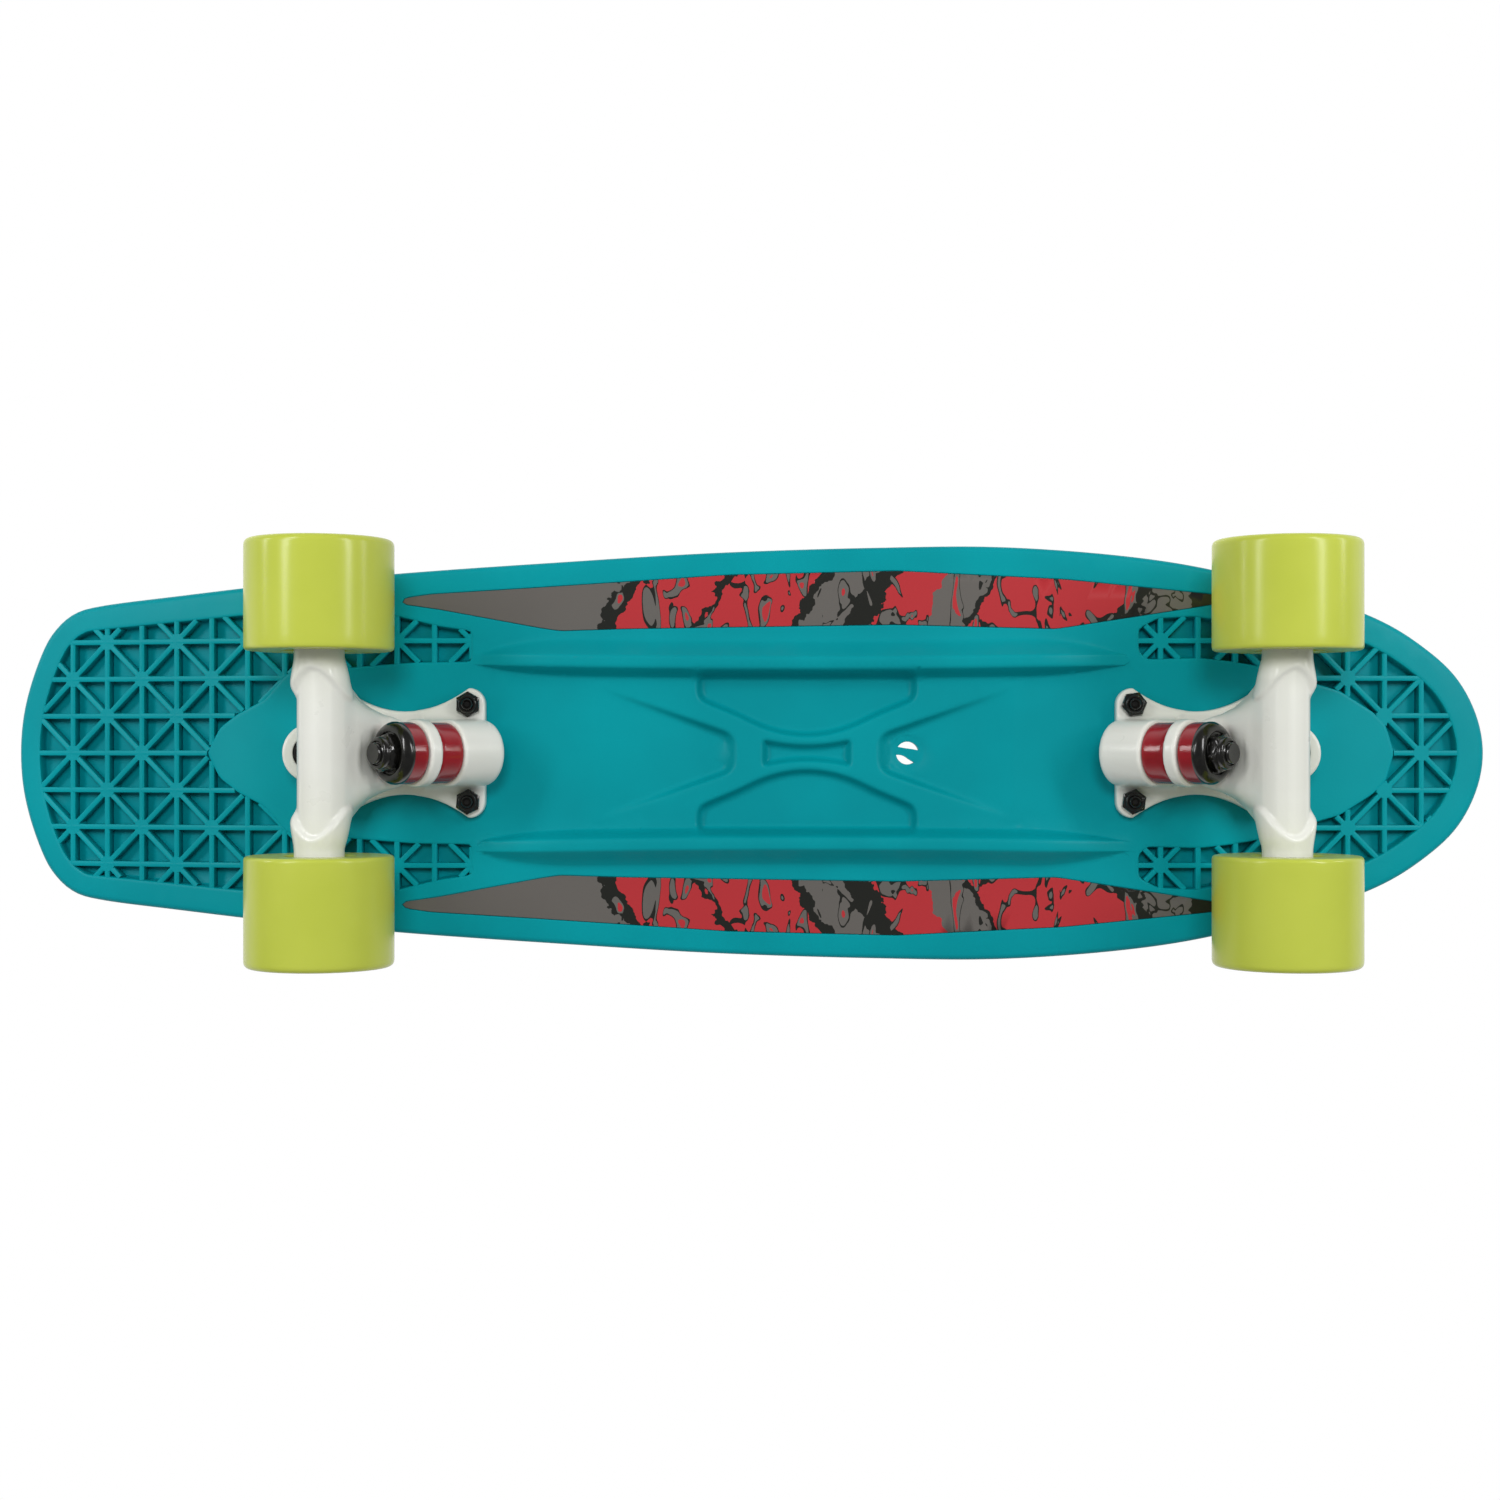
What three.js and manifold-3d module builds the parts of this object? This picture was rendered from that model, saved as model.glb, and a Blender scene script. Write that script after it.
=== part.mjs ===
// Cruiser skateboard: a moulded plastic deck on two kingpin trucks with four urethane wheels.
// Millimetres, +Z up, +X towards the nose. The origin lies on the ground under the middle of the deck.

import * as THREE from 'three';
import { mergeVertices } from 'three/addons/utils/BufferGeometryUtils.js';
import { ConvexGeometry } from 'three/addons/geometries/ConvexGeometry.js';
import Module from 'manifold-3d';

const wasm = await Module();
wasm.setup();

// Fits and cuts
const fitGap = 0.3; // left between pieces that rest on or in each other
const overrun = 5; // how far a cutting body reaches past the surface that it cuts
const roundSides = 20; // flats round a turned piece
const smallSides = 10; // flats round a bolt or a bolt hole
const thinSides = 16; // flats round the axle, its bearings and spacers

// Deck, as it is moulded
const deckLength = 635;
const deckWidth = 176.6;
const deckThickness = 11;
const edgeRound = 2.5;
const tailKickLength = 119.5;
const tailKickRadius = 120;
const tailKickAngle = 13;
const noseKickLength = 71.5;
const noseKickRadius = 200;
const noseKickAngle = 3.5;

// Ribbed fields under the tail and the nose
const skinThickness = 4;
const ribPitch = 16;
const ribWidth = 2.1;
const tailRimMargin = 9.7;
const noseRimMargin = 12;
const tailLatticeSetback = 55; // lattice line inboard of the tail axle
const noseLatticeSetback = 41.5; // lattice line inboard of the nose axle

// Two rails along the underside
const railHeight = 8.7;
const railSpacing = 79; // between the two crests
const railCrestWidth = 3;
const railInnerFoot = 6.4; // from the crest line in to the foot
const railOuterFoot = 9.6;
const railTaper = 40; // length over which each end runs out

// Cross-shaped plate in the middle of the underside
const platePocketDepth = 3;
const plateCentreX = 26.6;
const platePocketLength = 93;
const platePocketEdge = 31; // from the centre line to the pocket's outer edge
const platePocketWaist = 7.3;
const tieLength = 36.8;
const tieEndWidth = 10.8;
const tieWaistWidth = 6.4;
const veeReach = 62; // how far each open vee runs out from its apex
const veeApexX = 28.6; // from the plate's centre to each apex
const veeApexWidth = 11;
const veeApexNarrow = 5.5; // flat across the very apex
const veeApexRun = 3.7; // from there to the full apex width
const veeMouthWidth = 56;

// Drain hole with a bar across it
const holeX = 70.1;
const holeDiameter = 10.7;
const holeBarWidth = 3.6;
const holeBarAngle = 40;

// Printed strips let into the underside
const stripRecess = 0.8;
const sharpestShare = 0.3; // keeps a strip's sharp corners from being drawn in too far

// Truck as a whole: u runs outboard from the axle, z up from the axle
const noseAxleInset = 98; // axle inboard of the nose tip
const tailAxleInset = 146.1; // axle inboard of the tail tip
const truckHeight = 52; // axle centre to the deck's underside
const kingpinSetback = 37; // ring centre inboard of the axle
const kingpinDrop = 37; // ring centre below the deck's underside
const kingpinLean = 45; // kingpin against the vertical
const pivotReach = 12.5; // pivot centre outboard of the axle
const pivotDrop = 12; // pivot centre below the deck's underside
const pivotLean = 25; // pivot stem against the vertical

// Baseplate
const boltRow = 54; // bolt spacing along the board
const boltGauge = 41.3; // bolt spacing across the board
const innerBoltSetback = 54.5; // inner bolts inboard of the axle
const plateThickness = 6;
const plateEarRadius = 7;
const plateWaist = 35.4;
const kingpinBossDiameter = 28;
const kingpinBossLength = 22;
const pivotBossDiameter = 25;
const pivotMouthReach = 5; // from the pivot centre to the boss mouth

// Kingpin stack
const kingpinDiameter = 9.5;
const kingpinHeadDiameter = 17;
const kingpinHeadHeight = 6;
const kingpinProud = 1.7; // threads past the nut
const kingpinTipDiameter = 7.6;
const ringThickness = 6.4;
const ringDiameter = 28;
const ringBore = 14;
const bushingDiameter = 25.4;
const bushingEndDiameter = 22.8;
const boardBushingHeight = 10.8;
const roadBushingHeight = 8.6;
const washerDiameter = 26;
const washerThickness = 1.4;
const washerLip = 2.2;
const kingpinNutFlats = 14.3;
const kingpinNutHeight = 7;

// Hanger
const hangerWidth = 101.6;
const barrelDiameter = 20;
const shoulderDiameter = 22.8;
const barrelWaistDiameter = 18.4;
const shoulderOuter = 33; // from the middle to the outboard end of a shoulder
const shoulderInner = 26;
const shoulderRun = 2.5; // from a shoulder down to the barrel's end
const waistRun = 5; // from a shoulder down to the barrel's waist
const armThickness = 8;
const armClearance = 4; // from the cup washer's rim to the arm
const stemTipDiameter = 9.2;
const stemNeckDiameter = 10.1;
const stemFootDiameter = 15;
const stemFootShare = 0.62; // of the stem's length that keeps the full foot
const cupWall = 2.2;
const cupClearance = 0.4;
const cupMouthClearance = 1.2;
const cupEndShare = 0.72; // of the cup's radius, at its closed end

// Axle, bearings and wheels
const axleDiameter = 8;
const axleProud = 0.7;
const axleNutFlats = 12.7;
const axleNutHeight = 7;
const collarLength = 1; // stands for the speed washer against each bearing
const collarDiameter = 12;
const bearingDiameter = 22;
const bearingWidth = 7;
const spacerLength = 10;
const spacerDiameter = 10.6;
const wheelDiameter = 60;
const wheelWidth = 45;
const wheelSides = 24;
const wheelOuterCorner = 4;
const wheelInnerCorner = 1.8;
const wheelRecessDiameter = 30;
const wheelRecessFloor = 25;
const wheelCoreBore = 19;

// Truck bolts and lock nuts
const boltDiameter = 4.8;
const boltHeadDiameter = 9.6;
const boltHeadHeight = 2.8;
const boltHeadRecess = 0.3; // head below the deck's top
const boltProud = 1.5;
const boltSocketDiameter = 3.4;
const boltSocketDepth = 1.6;
const lockNutFlats = 9.5;
const lockNutHeight = 5;

// Places worked out from the sizes above
const noseAxleX = deckLength / 2 - noseAxleInset;
const tailAxleX = tailAxleInset - deckLength / 2;
const railFootY = railSpacing / 2 + railOuterFoot;
const axleZ = wheelDiameter / 2;
const underZ = axleZ + truckHeight;
const pocketDepth = deckThickness - skinThickness;
const ringUp = truckHeight - kingpinDrop;
const pivotUp = truckHeight - pivotDrop;
const kingpinTurn = THREE.MathUtils.degToRad(180 - kingpinLean);
const pivotTurn = THREE.MathUtils.degToRad(pivotLean);
const bossFace = -(ringThickness / 2 + boardBushingHeight);
const bossBack = bossFace - kingpinBossLength;
const washerFace = ringThickness / 2 + roadBushingHeight;
const kingpinNutFace = washerFace + washerThickness;
const kingpinEnd = kingpinNutFace + kingpinNutHeight + kingpinProud;
const innerBearingY = hangerWidth / 2 + collarLength;
const outerBearingY = innerBearingY + bearingWidth + spacerLength;
const wheelY = innerBearingY + bearingWidth + spacerLength / 2;
const axleNutY = outerBearingY + bearingWidth + collarLength;
const axleEndY = axleNutY + axleNutHeight + axleProud;
const plateUnder = truckHeight - fitGap - plateThickness;
const boltPlaces = [-innerBoltSetback, boltRow - innerBoltSetback].flatMap((u) => [
  [u, boltGauge / 2],
  [u, -boltGauge / 2],
]);

// Outline of the deck, tail tip to nose tip: shares of its half length and half width
const outlineShares = [
  [-1, 0],
  [-0.996, 0.18],
  [-0.983, 0.36],
  [-0.961, 0.545],
  [-0.947, 0.613],
  [-0.931, 0.665],
  [-0.912, 0.701],
  [-0.882, 0.724],
  [-0.762, 0.77],
  [-0.471, 0.869],
  [-0.255, 0.924],
  [-0.039, 0.971],
  [0.178, 0.996],
  [0.339, 1],
  [0.499, 0.961],
  [0.609, 0.905],
  [0.73, 0.8],
  [0.85, 0.658],
  [0.909, 0.538],
  [0.962, 0.372],
  [0.991, 0.182],
  [1, 0],
];

// Corners of a pocket beside the plate: shares of its half length and of the distance to its outer edge
const platePocketShares = [
  [0.95, 0.72],
  [0.61, 0.5],
];

// Side of the hanger's arm at the ring: shares of the ring's thickness and of its radius
const armTopShares = [
  [-0.5, 0.8],
  [-0.5, 1.15],
  [0.5, 1.6],
];
const armBottomShares = [
  [0.5, 1],
  [0.5, 0.8],
];

// Side of the same arm at the barrel: shares of the barrel's radius
const armFootShares = [
  [0.45, 0.85],
  [0, 0],
  [-0.75, 0.3],
];

// Plan of the arm, half: shares of the kingpin's setback and of the shoulder's distance out
const armPlanShares = [
  [-1, 0.365],
  [-0.754, 0.415],
  [-0.592, 0.542],
  [-0.44, 0.712],
  [-0.303, 0.836],
  [-0.243, 1],
  [0.135, 1],
];

// Half of each ribbed field, as shares of the same half length and half width
const tailFieldShares = [
  [-1.02, 0],
  [-1.02, 0.562],
  [-0.674, 0.665],
  [-0.472, 0.665],
  [-0.411, 0.612],
  [-0.367, 0.589],
  [-0.367, 0.441],
  [-0.444, 0.437],
  [-0.532, 0.412],
  [-0.614, 0.388],
  [-0.646, 0.257],
  [-0.683, 0.189],
  [-0.708, 0.121],
  [-0.726, 0],
];
const noseFieldShares = [
  [0.876, 0],
  [0.865, 0.133],
  [0.847, 0.199],
  [0.802, 0.3],
  [0.769, 0.334],
  [0.69, 0.421],
  [0.652, 0.444],
  [0.613, 0.459],
  [0.542, 0.453],
  [0.531, 0.49],
  [0.531, 0.6],
  [0.556, 0.65],
  [0.605, 0.66],
  [0.83, 0.532],
  [1.02, 0.532],
  [1.02, 0],
];

// Printed strip on one side: shares of the half length and of the way from a rail's foot to the widest edge
const stripShares = [
  [-0.455, 0.414],
  [-0.411, 0.329],
  [-0.274, 0.103],
  [-0.248, 0.072],
  [-0.157, 0.094],
  [0.205, 0.14],
  [0.42, 0.094],
  [0.628, 0.354],
  [0.658, 0.405],
  [0.628, 0.482],
  [0.431, 0.642],
  [0.205, 0.734],
  [-0.022, 0.689],
  [-0.274, 0.554],
  [-0.422, 0.48],
];

// Solids and meshes

function mergedMesh(geometry) {
  const bare = new THREE.BufferGeometry();
  bare.setAttribute('position', geometry.getAttribute('position'));
  bare.setIndex(geometry.getIndex());
  const merged = mergeVertices(bare);
  const corners = merged.getIndex().array;
  const kept = [];
  for (let i = 0; i < corners.length; i += 3) {
    const [a, b, c] = [corners[i], corners[i + 1], corners[i + 2]];
    if (a !== b && b !== c && c !== a) kept.push(a, b, c);
  }
  return { points: merged.getAttribute('position').array, corners: kept };
}

function signedVolume(points, corners) {
  const [a, b, c] = [new THREE.Vector3(), new THREE.Vector3(), new THREE.Vector3()];
  let total = 0;
  for (let i = 0; i < corners.length; i += 3) {
    a.fromArray(points, 3 * corners[i]);
    b.fromArray(points, 3 * corners[i + 1]);
    c.fromArray(points, 3 * corners[i + 2]);
    total += a.dot(b.cross(c)) / 6;
  }
  return total;
}

function solidOf(geometry) {
  const { points, corners } = mergedMesh(geometry);
  const facesOut = signedVolume(points, corners) > 0;
  const ordered = facesOut ? corners : corners.reverse();
  const mesh = new wasm.Mesh({
    numProp: 3,
    vertProperties: new Float32Array(points),
    triVerts: new Uint32Array(ordered),
  });
  return new wasm.Manifold(mesh);
}

function geometryOf(solid) {
  const mesh = solid.getMesh();
  const geometry = new THREE.BufferGeometry();
  geometry.setAttribute('position', new THREE.BufferAttribute(mesh.vertProperties, 3));
  geometry.setIndex(new THREE.BufferAttribute(mesh.triVerts, 1));
  geometry.computeVertexNormals();
  return geometry;
}

function joined(solids) {
  return solids.reduce((all, next) => all.add(next));
}

// A round piece about +Z: the profile's points are [radius, height] and close on themselves or the axis
function turned(profile, sides = roundSides) {
  const points = [...profile, profile[0]].map(([r, h]) => new THREE.Vector2(r, h));
  return new THREE.LatheGeometry(points, sides).rotateX(Math.PI / 2);
}

function rod(radius, from, to, sides = roundSides) {
  return turned([[0, from], [radius, from], [radius, to], [0, to]], sides);
}

function tube(bore, radius, from, to, sides = roundSides) {
  return turned([[bore, from], [radius, from], [radius, to], [bore, to]], sides);
}

// An upright prism on a closed outline in the XY plane
function prism(shape, from, to) {
  const options = { depth: to - from, bevelEnabled: false, curveSegments: 5 };
  return new THREE.ExtrudeGeometry(shape, options).translate(0, 0, from);
}

// A prism across the board on a closed outline whose points are [along, up]
function acrossPrism(points, width) {
  const shape = new THREE.Shape(points.map(([x, z]) => new THREE.Vector2(x, z)));
  const options = { depth: width, bevelEnabled: false };
  return new THREE.ExtrudeGeometry(shape, options).rotateX(Math.PI / 2).translate(0, width / 2, 0);
}

function hexShape(flats) {
  const radius = flats / Math.sqrt(3);
  const shape = new THREE.Shape();
  for (let corner = 0; corner < 6; corner += 1) {
    const turn = (corner * Math.PI) / 3;
    const [x, y] = [radius * Math.cos(turn), radius * Math.sin(turn)];
    if (corner === 0) shape.moveTo(x, y);
    else shape.lineTo(x, y);
  }
  return shape;
}

// A hexagon nut about +Z, standing on its seat
function hexNut(flats, height, bore) {
  const hole = solidOf(rod(bore / 2, -overrun, height + overrun, smallSides));
  return solidOf(prism(hexShape(flats), 0, height)).subtract(hole);
}

// Deck

function kickRise(distance, radius, degrees) {
  const angle = THREE.MathUtils.degToRad(degrees);
  const arcRun = radius * Math.sin(angle);
  if (distance <= 0) return 0;
  if (distance < arcRun) return radius - Math.sqrt(radius ** 2 - distance ** 2);
  return radius * (1 - Math.cos(angle)) + (distance - arcRun) * Math.tan(angle);
}

function deckRise(x) {
  const pastTail = tailKickLength - deckLength / 2 - x;
  const pastNose = x - deckLength / 2 + noseKickLength;
  const tail = kickRise(pastTail, tailKickRadius, tailKickAngle);
  return tail + kickRise(pastNose, noseKickRadius, noseKickAngle);
}

function sharePoint([x, y]) {
  return [(x * deckLength) / 2, (y * deckWidth) / 2];
}

// Points from the tail tip to the nose tip on the side of +Y, drawn in by a margin
function halfOutline(margin, steps = 42) {
  const near = outlineShares.map((share) => sharePoint(share));
  const far = near.slice(1, -1).reverse().map(([x, y]) => [x, -y]);
  const loop = [...near, ...far].map(([x, y]) => new THREE.Vector3(x, y, 0));
  const curve = new THREE.CatmullRomCurve3(loop, true, 'centripetal');
  const points = [];
  for (let i = 0; i <= steps; i += 1) {
    const share = i / steps / 2;
    const at = curve.getPoint(share);
    const way = curve.getTangent(share);
    const onTip = i === 0 || i === steps;
    points.push([at.x + way.y * margin, onTip ? 0 : at.y - way.x * margin]);
  }
  return points;
}

function wholeOutline(margin) {
  const near = halfOutline(margin);
  const far = near.slice(1, -1).reverse().map(([x, y]) => [x, -y]);
  return [...near, ...far];
}

function shapeOf(points) {
  return new THREE.Shape(points.map(([x, y]) => new THREE.Vector2(x, y)));
}

// The moulded blank: four loops round the edge, closed by strips that follow the kicks
function deckBlank() {
  const rings = [
    { margin: edgeRound, height: 0 },
    { margin: 0, height: edgeRound },
    { margin: 0, height: deckThickness - edgeRound },
    { margin: edgeRound, height: deckThickness },
  ];
  const loops = rings.map(({ margin }) => wholeOutline(margin));
  const count = loops[0].length;
  const points = loops.flatMap((loop, ring) => (
    loop.flatMap(([x, y]) => [x, y, underZ + deckRise(x) + rings[ring].height])
  ));
  const corners = [];
  const quad = (a, b, c, d) => corners.push(a, b, c, a, c, d);
  for (let ring = 0; ring < rings.length - 1; ring += 1) {
    for (let i = 0; i < count; i += 1) {
      const next = (i + 1) % count;
      const low = ring * count;
      quad(low + i, low + next, low + count + next, low + count + i);
    }
  }
  const top = (rings.length - 1) * count;
  for (let i = 0; i < count / 2; i += 1) {
    const mirror = (count - i) % count;
    const mirrorNext = count - i - 1;
    quad(i, mirror, mirrorNext, i + 1);
    quad(top + i, top + i + 1, top + mirrorNext, top + mirror);
  }
  const geometry = new THREE.BufferGeometry();
  geometry.setAttribute('position', new THREE.Float32BufferAttribute(points, 3));
  geometry.setIndex(corners);
  return solidOf(geometry);
}

// Everything below a surface that lies a given depth inside the underside
function belowSurface(depth) {
  const half = deckLength / 2;
  const tailStart = tailKickLength - half;
  const noseStart = half - noseKickLength;
  const tailRun = tailKickRadius * Math.sin(THREE.MathUtils.degToRad(tailKickAngle));
  const noseRun = noseKickRadius * Math.sin(THREE.MathUtils.degToRad(noseKickAngle));
  const stations = [
    -half - overrun,
    tailStart - tailRun,
    tailStart - tailRun / 2,
    tailStart,
    noseStart,
    noseStart + noseRun,
    half + overrun,
  ];
  const top = stations.map((x) => [x, underZ + deckRise(x) + depth]);
  const floor = underZ - overrun;
  const outline = [...top, [half + overrun, floor], [-half - overrun, floor]];
  return solidOf(acrossPrism(outline, deckWidth + 2 * overrun));
}

function fieldRegion(shares, rimMargin) {
  const near = shares.map((share) => sharePoint(share));
  const far = near.slice(1, -1).reverse().map(([x, y]) => [x, -y]);
  const zTop = underZ + deckLength;
  const rim = solidOf(prism(shapeOf(wholeOutline(rimMargin)), 0, zTop));
  return rim.intersect(solidOf(prism(shapeOf([...near, ...far]), 0, zTop)));
}

// Square ribs crossed by diagonals, all through one lattice point
function ribs(originX) {
  const reach = Math.ceil(deckWidth / ribPitch) + 1;
  const bar = (x, y, turn) => {
    const box = new THREE.BoxGeometry(2 * deckLength, ribWidth, deckLength);
    return solidOf(box.rotateZ(turn).translate(x, y, underZ));
  };
  const bars = [];
  for (let step = -reach; step <= reach; step += 1) {
    bars.push(bar(originX, step * ribPitch, 0));
    bars.push(bar(originX + step * ribPitch, 0, Math.PI / 2));
    if (step % 2 !== 0) {
      bars.push(bar(originX + step * ribPitch, 0, Math.PI / 4));
      bars.push(bar(originX + step * ribPitch, 0, -Math.PI / 4));
    }
  }
  return joined(bars);
}

function ribbedFields() {
  const tailRibs = ribs(tailAxleX + tailLatticeSetback);
  const noseRibs = ribs(noseAxleX - noseLatticeSetback);
  const tail = fieldRegion(tailFieldShares, tailRimMargin).subtract(tailRibs);
  const nose = fieldRegion(noseFieldShares, noseRimMargin).subtract(noseRibs);
  return joined([tail, nose]).intersect(belowSurface(pocketDepth));
}

function rail(side, fromX, toX) {
  const crestY = railSpacing / 2;
  const buried = underZ + skinThickness;
  const crest = underZ - railHeight;
  const points = [];
  for (const x of [fromX + railTaper, toX - railTaper]) {
    points.push([x, crestY - railInnerFoot, buried], [x, crestY + railOuterFoot, buried]);
    points.push([x, crestY - railInnerFoot, underZ], [x, crestY + railOuterFoot, underZ]);
    points.push([x, crestY - railCrestWidth / 2, crest], [x, crestY + railCrestWidth / 2, crest]);
  }
  for (const x of [fromX, toX]) {
    points.push([x, crestY + railCrestWidth / 2, underZ], [x, crestY + railCrestWidth / 2, buried]);
  }
  return solidOf(new ConvexGeometry(points.map(([x, y, z]) => new THREE.Vector3(x, side * y, z))));
}

function rails() {
  const fromX = tailAxleX + innerBoltSetback + plateEarRadius;
  const toX = noseAxleX - innerBoltSetback;
  return joined([rail(1, fromX, toX), rail(-1, fromX, toX)]);
}

function plateCut(shape) {
  const cut = prism(shape, underZ - overrun, underZ + platePocketDepth);
  return solidOf(cut.translate(plateCentreX, 0, 0));
}

// One of the two pockets between the plate and a rail
function platePocket(side) {
  const half = platePocketLength / 2;
  const shape = new THREE.Shape();
  shape.moveTo(-half, side * platePocketEdge);
  shape.lineTo(half, side * platePocketEdge);
  const corners = platePocketShares.map(([x, y]) => [x * half, side * y * platePocketEdge]);
  corners.forEach(([x, y]) => shape.lineTo(x, y));
  const [endX, endY] = corners.at(-1);
  shape.quadraticCurveTo(0, 2 * side * platePocketWaist - endY, -endX, endY);
  const [sideX, sideY] = corners[0];
  shape.lineTo(-sideX, sideY);
  return plateCut(shape);
}

function tieRecess() {
  const half = tieLength / 2;
  const shape = new THREE.Shape();
  shape.moveTo(-half, -tieEndWidth / 2);
  shape.quadraticCurveTo(0, tieEndWidth / 2 - tieWaistWidth, half, -tieEndWidth / 2);
  shape.lineTo(half, tieEndWidth / 2);
  shape.quadraticCurveTo(0, tieWaistWidth - tieEndWidth / 2, -half, tieEndWidth / 2);
  return plateCut(shape);
}

// An open vee whose floor ramps from the surface at its mouth to full depth at its apex
function veePocket(side) {
  const apex = plateCentreX + side * veeApexX;
  const mouth = apex + side * veeReach;
  const shoulder = apex + side * veeApexRun;
  const below = underZ - overrun;
  const deep = underZ + platePocketDepth;
  const points = [];
  for (const hand of [-1, 1]) {
    for (const z of [below, deep]) {
      points.push(new THREE.Vector3(apex, (hand * veeApexNarrow) / 2, z));
      points.push(new THREE.Vector3(shoulder, (hand * veeApexWidth) / 2, z));
    }
    points.push(new THREE.Vector3(mouth, (hand * veeMouthWidth) / 2, below));
    points.push(new THREE.Vector3(mouth, (hand * veeMouthWidth) / 2, underZ));
  }
  return solidOf(new ConvexGeometry(points));
}

function drainHole() {
  const through = solidOf(rod(holeDiameter / 2, underZ - overrun, underZ + deckThickness + overrun));
  const bar = new THREE.BoxGeometry(2 * holeDiameter, holeBarWidth, deckThickness);
  const turn = THREE.MathUtils.degToRad(holeBarAngle);
  bar.rotateZ(turn).translate(0, 0, underZ + deckThickness / 2);
  return through.subtract(solidOf(bar)).translate(holeX, 0, 0);
}

function stripShape(side, margin) {
  const room = deckWidth / 2 - railFootY;
  const points = stripShares.map(([x, y]) => [(x * deckLength) / 2, side * (railFootY + y * room)]);
  const ordered = side > 0 ? points : points.reverse();
  return shapeOf(drawnIn(ordered, margin));
}

// A closed outline drawn in by a margin, each corner moved along its bisector
function drawnIn(points, margin) {
  return points.map(([x, y], i) => {
    const [px, py] = points.at(i - 1);
    const [nx, ny] = points[(i + 1) % points.length];
    const before = new THREE.Vector2(x - px, y - py).normalize();
    const after = new THREE.Vector2(nx - x, ny - y).normalize();
    const inward = new THREE.Vector2(-before.y - after.y, before.x + after.x).normalize();
    const squareness = inward.y * before.x - inward.x * before.y;
    const reach = margin / Math.max(sharpestShare, squareness);
    return [x + inward.x * reach, y + inward.y * reach];
  });
}

function boltHoles() {
  const top = underZ + deckThickness;
  const radius = boltDiameter / 2 + fitGap;
  const headRadius = boltHeadDiameter / 2 + fitGap;
  const sink = boltHeadRecess + fitGap;
  const profile = [
    [0, underZ - overrun],
    [radius, underZ - overrun],
    [radius, top - sink - boltHeadHeight],
    [headRadius, top - boltHeadRecess],
    [headRadius, top + overrun],
    [0, top + overrun],
  ];
  const holes = [];
  for (const [axleX, facing] of [[noseAxleX, 1], [tailAxleX, -1]]) {
    for (const [u, y] of boltPlaces) {
      holes.push(solidOf(turned(profile, smallSides)).translate(axleX + facing * u, y, 0));
    }
  }
  return joined(holes);
}

function deck() {
  const stripCuts = [1, -1].map((side) => (
    solidOf(prism(stripShape(side, 0), underZ - overrun, underZ + stripRecess))
  ));
  const pockets = [platePocket(1), platePocket(-1), tieRecess(), veePocket(1), veePocket(-1)];
  return joined([
    deckBlank().subtract(joined([ribbedFields(), ...pockets, ...stripCuts])),
    rails(),
  ]).subtract(joined([drainHole(), boltHoles()]));
}

function graphicStrip(side) {
  const shape = stripShape(side, fitGap);
  return solidOf(prism(shape, underZ, underZ + stripRecess - fitGap));
}

// Materials

function finish(colour, roughness, metalness = 0) {
  return new THREE.MeshStandardMaterial({ color: colour, roughness, metalness });
}

const finishes = {
  deck: () => finish('#009198', 0.42),
  graphic: () => finish('#8f3a3c', 0.35),
  casting: () => finish('#eef0e8', 0.4),
  urethane: () => finish('#bbc64c', 0.25),
  bushing: () => finish('#8c1420', 0.35),
  blackSteel: () => finish('#1b1b1a', 0.4, 0.7),
  brightSteel: () => finish('#b9bcc0', 0.3, 1),
  rubber: () => finish('#141414', 0.7),
};

const board = new THREE.Group();

function place(group, name, solid, material) {
  const mesh = new THREE.Mesh(geometryOf(solid), finishes[material]());
  mesh.name = name;
  group.add(mesh);
  return mesh;
}

// Baseplate

function platePlan() {
  const yBolt = boltGauge / 2;
  const edge = yBolt + plateEarRadius;
  const inner = -innerBoltSetback;
  const outer = inner + boltRow;
  const control = plateWaist - edge;
  const shape = new THREE.Shape();
  shape.absarc(outer, -yBolt, plateEarRadius, -Math.PI / 2, 0);
  shape.absarc(outer, yBolt, plateEarRadius, 0, Math.PI / 2);
  shape.quadraticCurveTo((inner + outer) / 2, control, inner, edge);
  shape.absarc(inner, yBolt, plateEarRadius, Math.PI / 2, Math.PI);
  shape.absarc(inner, -yBolt, plateEarRadius, Math.PI, (3 * Math.PI) / 2);
  shape.quadraticCurveTo((inner + outer) / 2, -control, outer, -edge);
  return shape;
}

// A frame whose +Z runs down the kingpin from the middle of the hanger's ring
function kingpinFrame() {
  const frame = new THREE.Object3D();
  frame.position.set(-kingpinSetback, 0, ringUp);
  frame.rotation.y = kingpinTurn;
  frame.updateMatrix();
  return frame.matrix;
}

// A frame whose +Z runs up the pivot stem, with its origin at the pivot centre
function pivotFrame() {
  const frame = new THREE.Object3D();
  frame.position.set(pivotReach, 0, pivotUp);
  frame.rotation.y = pivotTurn;
  frame.updateMatrix();
  return frame.matrix;
}

function circlePoints(radius, height, matrix, sides = roundSides) {
  const points = [];
  for (let i = 0; i < sides; i += 1) {
    const turn = (2 * Math.PI * i) / sides;
    const point = new THREE.Vector3(radius * Math.cos(turn), radius * Math.sin(turn), height);
    points.push(point.applyMatrix4(matrix));
  }
  return points;
}

// A round boss about a leaning axis, filled up to the plate above it
function leaningBoss(radius, face, back, matrix) {
  const mouth = circlePoints(radius, face, matrix);
  const raised = mouth.map((point) => new THREE.Vector3(point.x, point.y, truckHeight));
  return solidOf(new ConvexGeometry([...mouth, ...circlePoints(radius, back, matrix), ...raised]));
}

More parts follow.
